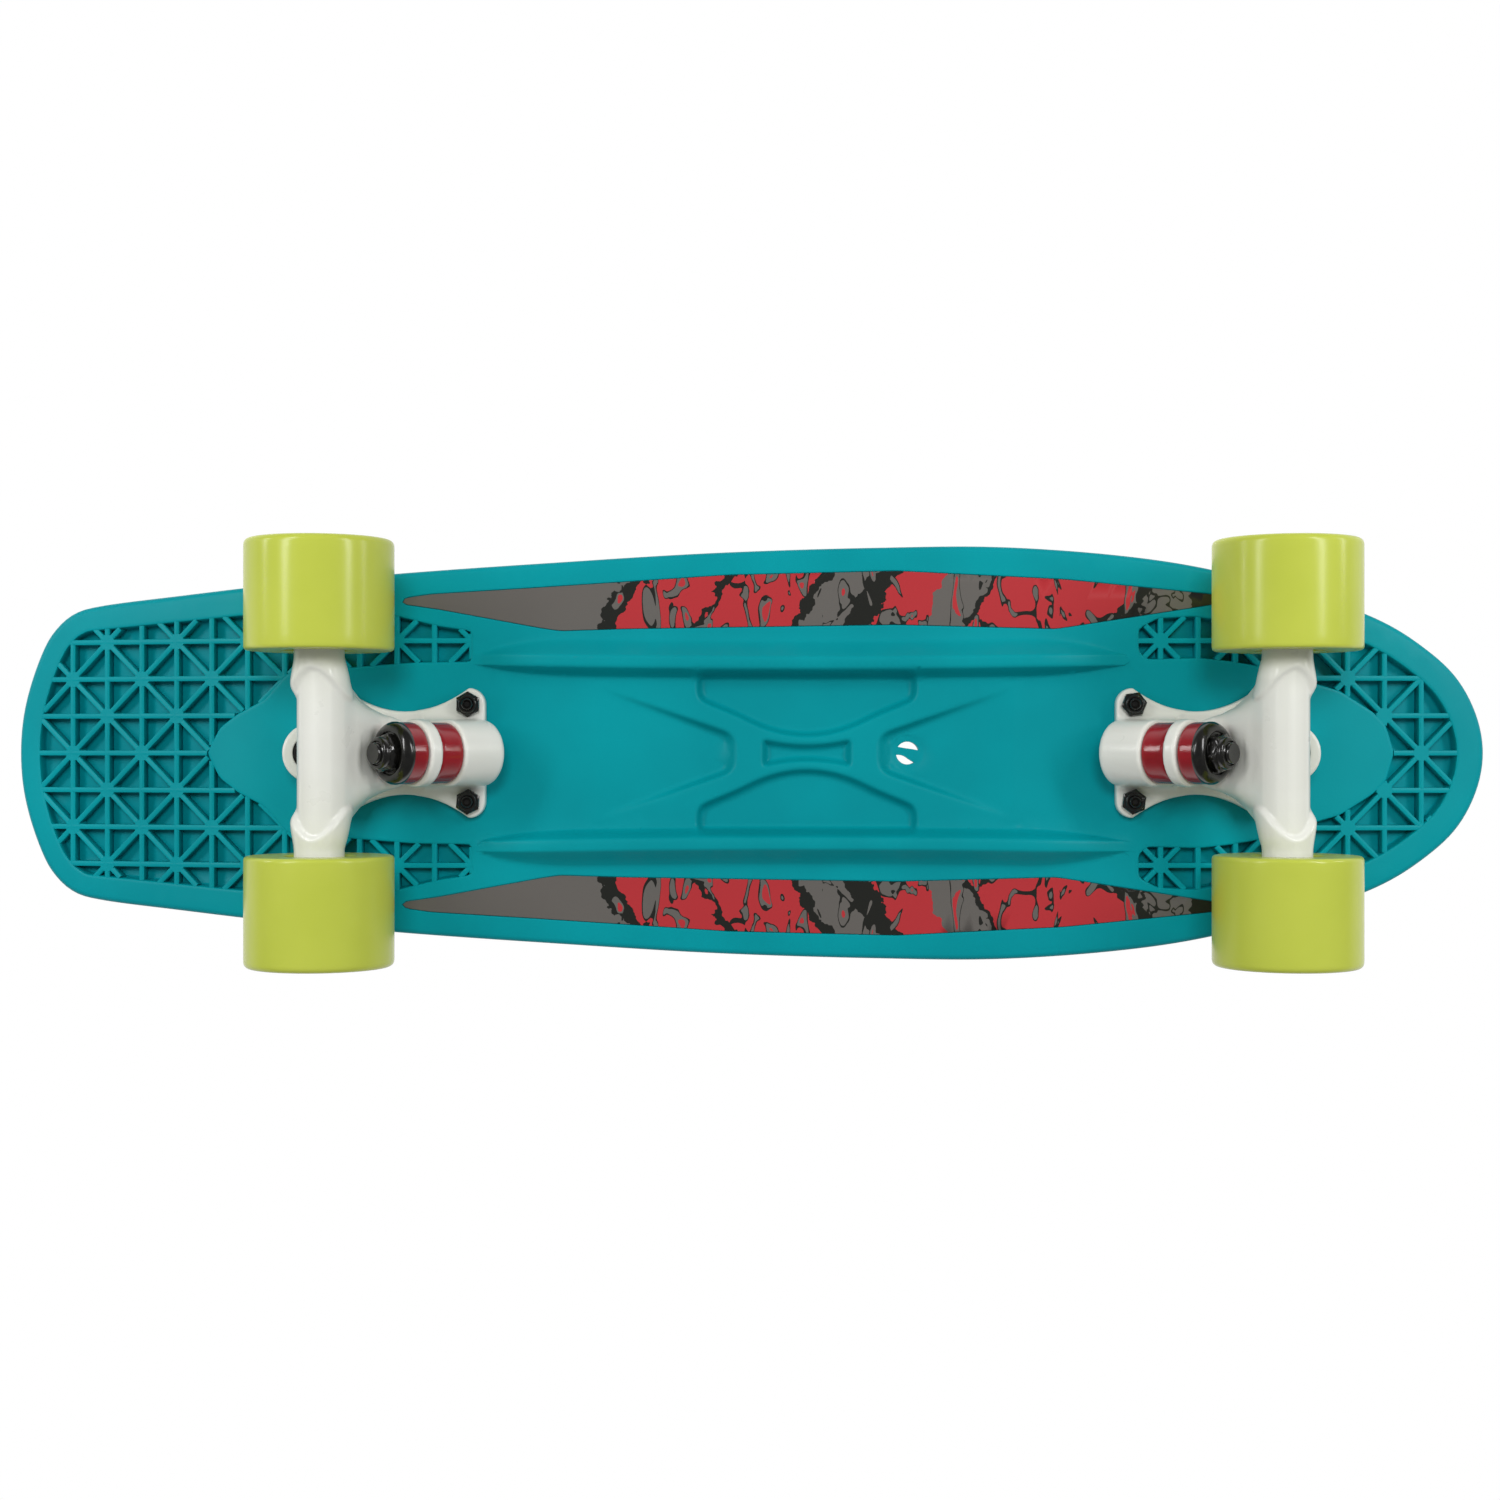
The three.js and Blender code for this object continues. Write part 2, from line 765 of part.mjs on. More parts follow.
function baseplate() {
  const plateTop = truckHeight - fitGap;
  const kingpin = kingpinFrame();
  const pivot = pivotFrame();
  const plate = solidOf(prism(platePlan(), plateUnder, plateTop));
  const kingpinBoss = leaningBoss(kingpinBossDiameter / 2, bossFace, bossBack, kingpin);
  const pivotBoss = leaningBoss(pivotBossDiameter / 2, -pivotMouthReach, -pivotMouthReach, pivot);
  const above = new THREE.BoxGeometry(deckLength, deckWidth, truckHeight);
  above.translate(0, 0, plateTop + truckHeight / 2);
  const bore = rod(kingpinDiameter / 2 + fitGap, bossBack - overrun, 0).applyMatrix4(kingpin);
  const headRadius = kingpinHeadDiameter / 2 + fitGap;
  const headFloor = bossBack + kingpinHeadHeight + fitGap;
  const headRecess = rod(headRadius, bossBack - 2 * headRadius, headFloor).applyMatrix4(kingpin);
  const holes = boltPlaces.map(([u, y]) => (
    solidOf(rod(boltDiameter / 2 + fitGap, 0, 2 * truckHeight, smallSides)).translate(u, y, 0)
  ));
  return joined([plate, kingpinBoss, pivotBoss])
    .subtract(solidOf(above))
    .subtract(joined([
      solidOf(bore),
      solidOf(headRecess),
      solidOf(turned(cupProfile(fitGap)).applyMatrix4(pivot)),
      ...holes,
    ]));
}

// Pivot cup

function cupOuter() {
  return stemTipDiameter / 2 + cupClearance + cupWall;
}

function cupProfile(extra) {
  const radius = cupOuter() + extra;
  const end = cupOuter() + cupWall / 4;
  const mouth = -pivotMouthReach - (extra > 0 ? overrun : 0);
  return [
    [0, mouth],
    [radius, mouth],
    [radius, end / 2],
    [radius * cupEndShare, end + extra],
    [0, end + extra],
  ];
}

function pivotCup() {
  const seat = stemTipDiameter / 2 + cupClearance;
  const mouth = seat + cupMouthClearance;
  const cavity = [
    [0, -2 * pivotMouthReach],
    [mouth + cupMouthClearance, -2 * pivotMouthReach],
    [mouth, -pivotMouthReach],
  ];
  for (let step = 0; step <= 3; step += 1) {
    const turn = (step * Math.PI) / 6;
    cavity.push([seat * Math.cos(turn), seat * Math.sin(turn)]);
  }
  const body = solidOf(turned(cupProfile(0)));
  return body.subtract(solidOf(turned(cavity))).transform(pivotFrame().toArray());
}

// Hanger

function barrel() {
  const half = hangerWidth / 2;
  const [waist, end, shoulder] = [barrelWaistDiameter / 2, barrelDiameter / 2, shoulderDiameter / 2];
  const collar = half + collarLength - fitGap;
  const profile = [
    [0, -collar],
    [collarDiameter / 2, -collar],
    [collarDiameter / 2, -half],
    [end, -half],
    [end, -shoulderOuter - shoulderRun],
    [shoulder, -shoulderOuter],
    [shoulder, -shoulderInner],
    [waist, waistRun - shoulderInner],
    [waist, shoulderInner - waistRun],
    [shoulder, shoulderInner],
    [shoulder, shoulderOuter],
    [end, shoulderOuter + shoulderRun],
    [end, half],
    [collarDiameter / 2, half],
    [collarDiameter / 2, collar],
    [0, collar],
  ];
  return solidOf(turned(profile).rotateX(Math.PI / 2));
}

// Side view of the arm between ring and barrel: [along the kingpin, out from it]
function armSide() {
  const lean = THREE.MathUtils.degToRad(kingpinLean);
  const ring = ringDiameter / 2;
  const inner = washerDiameter / 2 + armClearance;
  const outer = inner + armThickness;
  const atRing = ([s, q]) => [s * ringThickness, q * ring];
  const upper = [...armTopShares.map(atRing), [kingpinNutFace, outer]];
  const lower = [[kingpinEnd - ringThickness / 2, inner], [roadBushingHeight, inner]];
  const alongKingpin = ([s, q]) => [
    -kingpinSetback + s * Math.sin(lean) + q * Math.cos(lean),
    ringUp - s * Math.cos(lean) + q * Math.sin(lean),
  ];
  return [
    ...upper.map(alongKingpin),
    ...armFootShares.map(([u, z]) => [(u * barrelDiameter) / 2, (z * barrelDiameter) / 2]),
    ...[...lower, ...armBottomShares.map(atRing)].map(alongKingpin),
  ];
}

function armPlan() {
  const half = armPlanShares.map(([u, y]) => [u * kingpinSetback, y * shoulderOuter]);
  return shapeOf([...half, ...half.map(([u, y]) => [u, -y]).reverse()]);
}

function stem() {
  const tip = stemTipDiameter / 2;
  const foot = Math.hypot(pivotReach + barrelDiameter / 2, pivotUp - barrelDiameter / 2);
  const profile = [
    [0, -foot],
    [stemFootDiameter / 2, -foot],
    [stemFootDiameter / 2, -foot * stemFootShare],
    [stemNeckDiameter / 2, -pivotMouthReach],
  ];
  for (let step = 0; step <= 3; step += 1) {
    const turn = (step * Math.PI) / 6;
    profile.push([tip * Math.cos(turn), tip * Math.sin(turn)]);
  }
  return solidOf(turned(profile)).transform(pivotFrame().toArray());
}

function hanger() {
  const kingpin = kingpinFrame();
  const face = ringThickness / 2;
  const ring = solidOf(rod(ringDiameter / 2, -face, face).applyMatrix4(kingpin));
  const arm = solidOf(prism(armPlan(), -truckHeight, truckHeight))
    .intersect(solidOf(acrossPrism(armSide(), 2 * hangerWidth)));
  const clearance = turned([
    [0, face],
    [ringDiameter / 2, face],
    [washerDiameter / 2 + armClearance, washerFace],
    [washerDiameter / 2 + armClearance, kingpinEnd + overrun],
    [0, kingpinEnd + overrun],
  ]);
  const bushingRoom = rod(ringDiameter / 2, -face - boardBushingHeight, -face);
  const bore = rod(ringBore / 2, -boardBushingHeight, kingpinEnd);
  const axleBore = rod(axleDiameter / 2 + fitGap, -hangerWidth, hangerWidth).rotateX(Math.PI / 2);
  return joined([barrel(), arm, stem(), ring])
    .subtract(solidOf(bore.applyMatrix4(kingpin)))
    .subtract(solidOf(clearance.applyMatrix4(kingpin)))
    .subtract(solidOf(bushingRoom.applyMatrix4(kingpin)))
    .subtract(solidOf(axleBore));
}

// Kingpin stack

function kingpinBolt() {
  const shaft = kingpinDiameter / 2;
  const head = kingpinHeadDiameter / 2;
  const profile = [
    [0, bossBack],
    [head, bossBack],
    [head, bossBack + kingpinHeadHeight],
    [shaft, bossBack + kingpinHeadHeight],
    [shaft, kingpinEnd - shaft + kingpinTipDiameter / 2],
    [kingpinTipDiameter / 2, kingpinEnd],
    [0, kingpinEnd],
  ];
  return solidOf(turned(profile)).transform(kingpinFrame().toArray());
}

function bushing(from, to) {
  const bore = kingpinDiameter / 2 + fitGap;
  const end = bushingEndDiameter / 2;
  const round = bushingDiameter / 2;
  const profile = [
    [bore, from],
    [end, from],
    [round, from + washerLip],
    [round, to - washerLip],
    [end, to],
    [bore, to],
  ];
  return solidOf(turned(profile)).transform(kingpinFrame().toArray());
}

function cupWasher() {
  const bore = kingpinDiameter / 2 + fitGap;
  const outer = washerDiameter / 2;
  const inner = outer - washerThickness / 2;
  const profile = [
    [bore, washerFace],
    [inner - washerThickness / 2, washerFace],
    [inner, washerFace - washerLip / 2],
    [outer, washerFace - washerLip / 2],
    [outer, washerFace],
    [outer - washerThickness, kingpinNutFace - fitGap],
    [bore, kingpinNutFace - fitGap],
  ];
  return solidOf(turned(profile)).transform(kingpinFrame().toArray());
}

function kingpinNut() {
  const nut = hexNut(kingpinNutFlats, kingpinNutHeight, kingpinDiameter + 2 * fitGap);
  return nut.translate(0, 0, kingpinNutFace).transform(kingpinFrame().toArray());
}

// Axle and wheels, turned about +Z and then laid along Y

function axle() {
  const radius = axleDiameter / 2;
  const chamfer = axleProud;
  const profile = [
    [0, -axleEndY],
    [radius - chamfer, -axleEndY],
    [radius, -axleEndY + chamfer],
    [radius, axleEndY - chamfer],
    [radius - chamfer, axleEndY],
    [0, axleEndY],
  ];
  return solidOf(turned(profile, thinSides).rotateX(Math.PI / 2));
}

function wheelProfile() {
  const half = wheelWidth / 2;
  const radius = wheelDiameter / 2 / Math.cos(Math.PI / wheelSides);
  const seat = bearingDiameter / 2 + fitGap;
  const seatFloor = spacerLength / 2 - fitGap;
  const seatTop = spacerLength / 2 + bearingWidth;
  const profile = [
    [wheelCoreBore / 2, seatFloor],
    [seat, seatFloor],
    [seat, seatTop],
    [wheelRecessFloor / 2, seatTop],
    [wheelRecessDiameter / 2, half],
  ];
  for (let step = 0; step <= 2; step += 1) {
    const turn = Math.PI / 2 - (step * Math.PI) / 4;
    const corner = wheelOuterCorner;
    profile.push([radius - corner + corner * Math.cos(turn), half - corner + corner * Math.sin(turn)]);
  }
  for (let step = 0; step <= 1; step += 1) {
    const turn = (-step * Math.PI) / 2;
    const corner = wheelInnerCorner;
    profile.push([radius - corner + corner * Math.cos(turn), corner - half + corner * Math.sin(turn)]);
  }
  profile.push([wheelRecessDiameter / 2, -half]);
  profile.push([wheelRecessFloor / 2, -seatTop], [seat, -seatTop], [seat, -seatFloor]);
  profile.push([wheelCoreBore / 2, -seatFloor]);
  return profile;
}

// Laid on its side with a flat of its tread on the ground and its outer face towards +Y or -Y
function wheel(side) {
  const round = turned(wheelProfile(), wheelSides);
  round.rotateZ(Math.PI / wheelSides + Math.PI / 2);
  return solidOf(round.rotateX((-side * Math.PI) / 2).translate(0, side * wheelY, 0));
}

function bearing(side, inY) {
  const bore = axleDiameter / 2 + fitGap;
  const ring = tube(bore, bearingDiameter / 2, inY, inY + bearingWidth, thinSides);
  return solidOf(ring.rotateX((-side * Math.PI) / 2));
}

function bearingSpacer(side) {
  const from = innerBearingY + bearingWidth + fitGap;
  const bore = axleDiameter / 2 + fitGap;
  const ring = tube(bore, spacerDiameter / 2, from, outerBearingY - fitGap, smallSides);
  return solidOf(ring.rotateX((-side * Math.PI) / 2));
}

function axleNut(side) {
  const nut = hexNut(axleNutFlats, axleNutHeight, axleDiameter + 2 * fitGap);
  const bore = axleDiameter / 2 + fitGap;
  const collar = tube(bore, collarDiameter / 2, fitGap - collarLength, axleNutHeight / 4, smallSides);
  const turn = new THREE.Matrix4().makeRotationX((-side * Math.PI) / 2);
  return nut.add(solidOf(collar)).translate(0, 0, axleNutY).transform(turn.toArray());
}

// Truck bolts and lock nuts

function truckBolt() {
  const top = truckHeight + deckThickness - boltHeadRecess;
  const end = plateUnder - fitGap - lockNutHeight - boltProud;
  const profile = [
    [0, end],
    [boltDiameter / 2, end],
    [boltDiameter / 2, top - boltHeadHeight],
    [boltHeadDiameter / 2, top],
    [boltSocketDiameter / 2, top],
    [boltSocketDiameter / 4, top - boltSocketDepth],
    [0, top - boltSocketDepth],
  ];
  return solidOf(turned(profile, smallSides));
}

function lockNut() {
  const nut = hexNut(lockNutFlats, lockNutHeight, boltDiameter + 2 * fitGap);
  return nut.rotate([180, 0, 0]).translate(0, 0, plateUnder - fitGap);
}

// Assembly

function buildTruck(end, axleX, facing) {
  const truck = new THREE.Group();
  truck.position.set(axleX, 0, axleZ);
  truck.rotation.z = facing > 0 ? 0 : Math.PI;
  board.add(truck);

  place(truck, `${end}_baseplate`, baseplate(), 'casting');
  place(truck, `${end}_pivot_cup`, pivotCup(), 'rubber');
  place(truck, `${end}_hanger`, hanger(), 'casting');
  place(truck, `${end}_axle`, axle(), 'brightSteel');
  place(truck, `${end}_kingpin`, kingpinBolt(), 'blackSteel');
  place(truck, `${end}_kingpin_nut`, kingpinNut(), 'blackSteel');
  place(truck, `${end}_cup_washer`, cupWasher(), 'blackSteel');
  const boardBushing = bushing(bossFace + fitGap, -ringThickness / 2 - fitGap);
  const roadBushing = bushing(ringThickness / 2 + fitGap, washerFace - fitGap);
  place(truck, `${end}_bushing_board_side`, boardBushing, 'bushing');
  place(truck, `${end}_bushing_road_side`, roadBushing, 'bushing');

  boltPlaces.forEach(([u, y], index) => {
    const bolt = place(truck, `${end}_truck_bolt_${index + 1}`, truckBolt(), 'blackSteel');
    const nut = place(truck, `${end}_lock_nut_${index + 1}`, lockNut(), 'blackSteel');
    bolt.position.set(u, y, 0);
    nut.position.set(u, y, 0);
  });

  for (const hand of [1, -1]) {
    const side = hand * facing > 0 ? 'left' : 'right';
    place(truck, `${end}_${side}_wheel`, wheel(hand), 'urethane');
    place(truck, `${end}_${side}_inner_bearing`, bearing(hand, innerBearingY), 'brightSteel');
    place(truck, `${end}_${side}_outer_bearing`, bearing(hand, outerBearingY), 'brightSteel');
    place(truck, `${end}_${side}_bearing_spacer`, bearingSpacer(hand), 'brightSteel');
    place(truck, `${end}_${side}_axle_nut`, axleNut(hand), 'brightSteel');
  }
}

place(board, 'deck', deck(), 'deck');
place(board, 'left_graphic_strip', graphicStrip(1), 'graphic');
place(board, 'right_graphic_strip', graphicStrip(-1), 'graphic');
buildTruck('nose', noseAxleX, 1);
buildTruck('tail', tailAxleX, -1);

export default board;
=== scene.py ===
# Cruiser skateboard: a moulded plastic deck on two kingpin trucks, dressed around its fixed frame.
# Sizes are in millimetres until a mesh is made. +X is the nose, +Z is up, and it stands on its wheels.

import math

import bpy
import numpy as np
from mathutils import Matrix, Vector
from mathutils.geometry import delaunay_2d_cdt


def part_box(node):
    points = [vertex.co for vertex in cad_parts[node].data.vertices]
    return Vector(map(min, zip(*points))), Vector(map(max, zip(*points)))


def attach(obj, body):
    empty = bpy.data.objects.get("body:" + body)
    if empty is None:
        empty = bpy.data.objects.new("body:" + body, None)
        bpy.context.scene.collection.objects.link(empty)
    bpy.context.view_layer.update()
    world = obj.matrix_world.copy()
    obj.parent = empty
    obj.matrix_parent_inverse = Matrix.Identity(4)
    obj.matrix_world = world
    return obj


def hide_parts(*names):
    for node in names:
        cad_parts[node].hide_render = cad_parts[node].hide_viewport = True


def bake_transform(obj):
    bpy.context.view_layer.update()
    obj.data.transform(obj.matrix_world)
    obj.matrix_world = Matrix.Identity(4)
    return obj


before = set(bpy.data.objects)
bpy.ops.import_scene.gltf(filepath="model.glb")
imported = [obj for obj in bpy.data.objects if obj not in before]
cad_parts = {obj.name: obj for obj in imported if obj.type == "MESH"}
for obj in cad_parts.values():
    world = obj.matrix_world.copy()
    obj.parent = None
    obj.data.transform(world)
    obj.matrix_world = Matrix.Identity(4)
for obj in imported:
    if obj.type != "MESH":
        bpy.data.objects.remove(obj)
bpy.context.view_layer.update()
mm = 0.001


def nodeBox(node):
    low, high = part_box(node)
    return np.array(low) / mm, np.array(high) / mm


deckLow, deckHigh = nodeBox("deck")
halfLength = (deckHigh[0] - deckLow[0]) / 2
halfWidth = (deckHigh[1] - deckLow[1]) / 2
underZ = nodeBox("left_graphic_strip")[0][2]  # the flat underside, where the strips lie flush
noseAxle = sum(nodeBox("nose_axle")) / 2
tailAxle = sum(nodeBox("tail_axle")) / 2
print("frame loaded")


# Camera, lamps, floor and world

view = {
    "eye": (2.5, -1.3, -870),  # straight below the board
    "lens": 53.5,
    "sensor": 36,
}
studio = {
    "worldLevel": 0.33,
    "glossBelow": 0.14,  # what a gloss sees towards the ground
    "horizon": (-0.1, 0.35),  # over these heights it turns to a white sky
    "floorColour": "#f4f4f2",
    "floorSize": 8000,
    "lamps": {
        "keyBelow": {"at": (0, -620, -2200), "size": (500, 500), "power": 18.5, "gloss": False},
        "leftStrip": {"at": (-610, -320, -560), "size": (110, 480), "power": 2.1, "gloss": True},
        "rightStrip": {"at": (610, -320, -560), "size": (110, 480), "power": 2.1, "gloss": True},
        "leftLow": {"at": (-900, -280, -135), "size": (60, 300), "power": 0.7, "gloss": True},
        "rightLow": {"at": (900, -280, -135), "size": (60, 300), "power": 0.7, "gloss": True},
    },
    "sun": {"at": (-700, -900, 1500), "power": 2.3, "spread": 25},  # for the floor and the top
}


def linear(hexColour):
    parts = [int(hexColour[i : i + 2], 16) / 255 for i in (1, 3, 5)]
    return (*(c / 12.92 if c <= 0.04045 else ((c + 0.055) / 1.055) ** 2.4 for c in parts), 1)


# An input takes a value, a socket, a node for its first output, or a list of nodes
def addNode(tree, kind, inputs=None, **settings):
    node = tree.nodes.new(kind)
    for name, value in settings.items():
        setattr(node, name, value)
    for name, given in (inputs or {}).items():
        for value in given if isinstance(given, list) else [given]:
            if isinstance(value, bpy.types.Node):
                value = value.outputs[0]
            if isinstance(value, bpy.types.NodeSocket):
                tree.links.new(value, node.inputs[name])
            else:
                node.inputs[name].default_value = value
    return node


def emptyMaterial(name):
    material = bpy.data.materials.new(name)
    material.use_nodes = True
    material.node_tree.nodes.clear()
    return material, material.node_tree


def link(thing):
    bpy.context.scene.collection.objects.link(thing)
    return thing


def makeCamera():
    data = bpy.data.cameras.new("camera")
    data.lens = view["lens"]
    data.sensor_width = view["sensor"]
    data.clip_start = 0.01
    data.clip_end = 20
    camera = link(bpy.data.objects.new("camera", data))
    camera.location = Vector(view["eye"]) * mm
    camera.rotation_euler = (math.pi, 0, 0)  # looks up, with the nose on the right
    bpy.context.scene.camera = camera


def placeLamp(name, data, at, target, gloss):
    lamp = link(bpy.data.objects.new(name, data))
    lamp.location = Vector(at) * mm
    lamp.rotation_mode = "QUATERNION"
    lamp.rotation_quaternion = (Vector(target) * mm - lamp.location).to_track_quat("-Z", "X")
    lamp.visible_glossy = gloss


def makeLamps():
    for name, lamp in studio["lamps"].items():
        data = bpy.data.lights.new(name, "AREA")
        data.shape = "RECTANGLE"
        data.size, data.size_y = (side * mm for side in lamp["size"])
        data.energy = lamp["power"]
        placeLamp(name, data, lamp["at"], (0, 0, underZ), lamp["gloss"])
    sun = bpy.data.lights.new("sun", "SUN")
    sun.energy = studio["sun"]["power"]
    sun.angle = math.radians(studio["sun"]["spread"])
    placeLamp("sun", sun, studio["sun"]["at"], (0, 0, 0), False)


# The floor is there for the camera above it only, so the board is lit alike from below
def makeFloor():
    reach = studio["floorSize"] / 2 * mm
    mesh = bpy.data.meshes.new("floor")
    corners = [(x * reach, y * reach, 0) for x, y in ((-1, -1), (1, -1), (1, 1), (-1, 1))]
    mesh.from_pydata(corners, [], [(0, 1, 2, 3)])
    floor = link(bpy.data.objects.new("floor", mesh))
    paint, tree = emptyMaterial("paleFloor")
    back = addNode(tree, "ShaderNodeNewGeometry").outputs["Backfacing"]
    front = addNode(tree, "ShaderNodeMath", {0: 1, 1: back}, operation="SUBTRACT")
    camera = addNode(tree, "ShaderNodeLightPath").outputs["Is Camera Ray"]
    seen = addNode(tree, "ShaderNodeMath", {0: camera, 1: front}, operation="MULTIPLY")
    clear = addNode(tree, "ShaderNodeBsdfTransparent")
    matt = addNode(tree, "ShaderNodeBsdfDiffuse", {"Color": linear(studio["floorColour"])})
    mix = addNode(tree, "ShaderNodeMixShader", {0: seen, 1: clear, 2: matt})
    addNode(tree, "ShaderNodeOutputMaterial", {"Surface": mix})
    mesh.materials.append(paint)


# White where it is seen directly, through glass or in a gloss from the sky, and a plain grey level as light
def makeWorld():
    world = bpy.data.worlds.new("studio")
    bpy.context.scene.world = world
    world.use_nodes = True
    tree = world.node_tree
    tree.nodes.clear()
    rays = addNode(tree, "ShaderNodeLightPath").outputs
    way = addNode(tree, "ShaderNodeTexCoord").outputs["Generated"]
    height = addNode(tree, "ShaderNodeSeparateXYZ", {"Vector": way}).outputs["Z"]
    low, high = studio["horizon"]
    sky = addNode(tree, "ShaderNodeMapRange",
                  {"Value": height, "From Min": low, "From Max": high,
                   "To Min": studio["glossBelow"], "To Max": 1},
                  interpolation_type="SMOOTHSTEP")
    soft = addNode(tree, "ShaderNodeMapRange",
                   {"Value": rays["Is Glossy Ray"], "To Min": studio["worldLevel"], "To Max": sky})
    seen = addNode(tree, "ShaderNodeMath", {0: rays["Is Camera Ray"], 1: rays["Is Transmission Ray"]},
                   operation="MAXIMUM")
    level = addNode(tree, "ShaderNodeMapRange", {"Value": seen, "To Min": soft, "To Max": 1})
    light = addNode(tree, "ShaderNodeBackground", {"Color": linear("#ffffff"), "Strength": level})
    addNode(tree, "ShaderNodeOutputWorld", {"Surface": light})


makeCamera()
makeLamps()
makeFloor()
makeWorld()
bpy.context.scene.view_settings.view_transform = "Standard"
print("camera, lamps and floor made")


# Materials

# Each look has two shades in soft patches, a gloss that wanders between two roughnesses over patches of its
# own, and a fine grain with its relief. Patches, grain and relief are in millimetres, by their real size
looks = {
    # Injection-moulded polypropylene from a spark-eroded mould: a satin skin, faintly uneven where it flowed.
    # The grain is coarser than the real 0.1 mm texture, so that it shows
    "deck_plastic": {
        "name": "mouldedPolypropylene",
        "shades": ("#00919b", "#0099a3"),
        "patch": 60,
        "roughness": (0.34, 0.46),
        "glossPatch": 25,
        "grain": 0.9,
        "relief": 0.03,
        "sockets": {"IOR": 1.49, "Specular IOR Level": 0.14},
    },
    # Printed film under a clear coat: an even sheen over torn bands and blots
    "graphic_film": {
        "name": "printedFilm",
        "roughness": (0.3, 0.42),
        "glossPatch": 30,
        "grain": 1.2,
        "relief": 0.01,
        "sockets": {"Coat Weight": 0.15},
    },
    # Powder coat on cast aluminium: warm white, with the slight orange peel of a baked powder
    "white_casting": {
        "name": "powderCoatedCasting",
        "shades": ("#e3e4dc", "#e8e9e2"),
        "patch": 30,
        "roughness": (0.24, 0.34),
        "glossPatch": 12,
        "grain": 1.6,
        "relief": 0.04,
        "sockets": {"Coat Weight": 0.2, "Coat Roughness": 0.1},
    },
    # Cast urethane tread: opaque lime with a little light in its skin, and fine turning lines round it
    "lime_urethane": {
        "name": "castUrethane",
        "shades": ("#bcc74a", "#c1cb4f"),
        "patch": 40,
        "roughness": (0.2, 0.27),
        "glossPatch": 14,
        "grain": 0.7,
        "grainScale": (0.01, 1, 0.01),
        "relief": 0.004,
        "sockets": {"Specular IOR Level": 0.4, "Subsurface Weight": 0.12, "Subsurface Scale": 2 * mm,
                    "Subsurface Radius": (1, 1, 0.35)},
    },
    # Poured urethane bushing: deep clear red, glossy from its mould
    "red_urethane": {
        "name": "pouredUrethane",
        "shades": ("#84101b", "#961622"),
        "patch": 14,
        "roughness": (0.16, 0.24),
        "glossPatch": 8,
        "grain": 2.2,
        "relief": 0.02,
        "sockets": {"Specular IOR Level": 0.35, "Coat Weight": 0.5, "Coat Roughness": 0.12,
                    "Subsurface Weight": 0.1, "Subsurface Scale": 2 * mm, "Subsurface Radius": (1, 0.1, 0.1)},
    },
    # Steel with a black oxide finish under oil: near black, worn a little lighter where it rubs
    "black_steel": {
        "name": "blackOxideSteel",
        "shades": ("#121211", "#22211e"),
        "shadeSpread": (0.4, 0.7),
        "patch": 4,
        "roughness": (0.2, 0.3),
        "glossPatch": 2.5,
        "grain": 1.4,
        "relief": 0.01,
        "sockets": {"Metallic": 0.3, "IOR": 1.6, "Coat Weight": 0.6},
    },
    # Zinc-plated and ground steel: bright, faintly blue, with fine grinding marks round the axis
    "bright_steel": {
        "name": "platedSteel",
        "shades": ("#b4b8bc", "#c4c6c8"),
        "patch": 5,
        "roughness": (0.18, 0.34),
        "glossPatch": 1.5,
        "grain": 0.3,
        "grainScale": (0.05, 1, 0.05),
        "relief": 0.006,
        "sockets": {"Metallic": 1},
    },
    # Black moulded rubber: matt, a little dusty in its pores
    "black_rubber": {
        "name": "mouldedRubber",
        "shades": ("#151514", "#222120"),
        "patch": 3,
        "roughness": (0.55, 0.75),
        "glossPatch": 1.5,
        "grain": 0.5,
        "relief": 0.03,
        "sockets": {"IOR": 1.45},
    },
}

# The print on the film, in millimetres: bands by their start as shares of their span, and blots over them
film = {
    "grey": "#66625e",
    "red": "#b82f35",
    "black": "#1e1f1b",
    "bandSpan": (-170, 200),
    "bandSlant": -0.55,
    "bands": [
        (0, "grey"), (0.228, "black"), (0.25, "red"), (0.34, "black"), (0.348, "red"), (0.45, "black"),
        (0.462, "grey"), (0.51, "black"), (0.54, "red"), (0.6, "grey"), (0.65, "black"), (0.66, "red"),
        (0.82, "black"), (0.845, "grey"), (0.895, "black"), (0.925, "grey"),
    ],
    "tearSize": 9,
    "tearDepth": 15,
    "blotSize": 11,
    "blotScale": (1, 0.55, 1),  # longer along the board
    "blotTurn": 0.5,
    "blotsFrom": (-62, -56),
    "blots": [(0.575, "black"), (0.605, "grey"), (0.68, "red")],
}


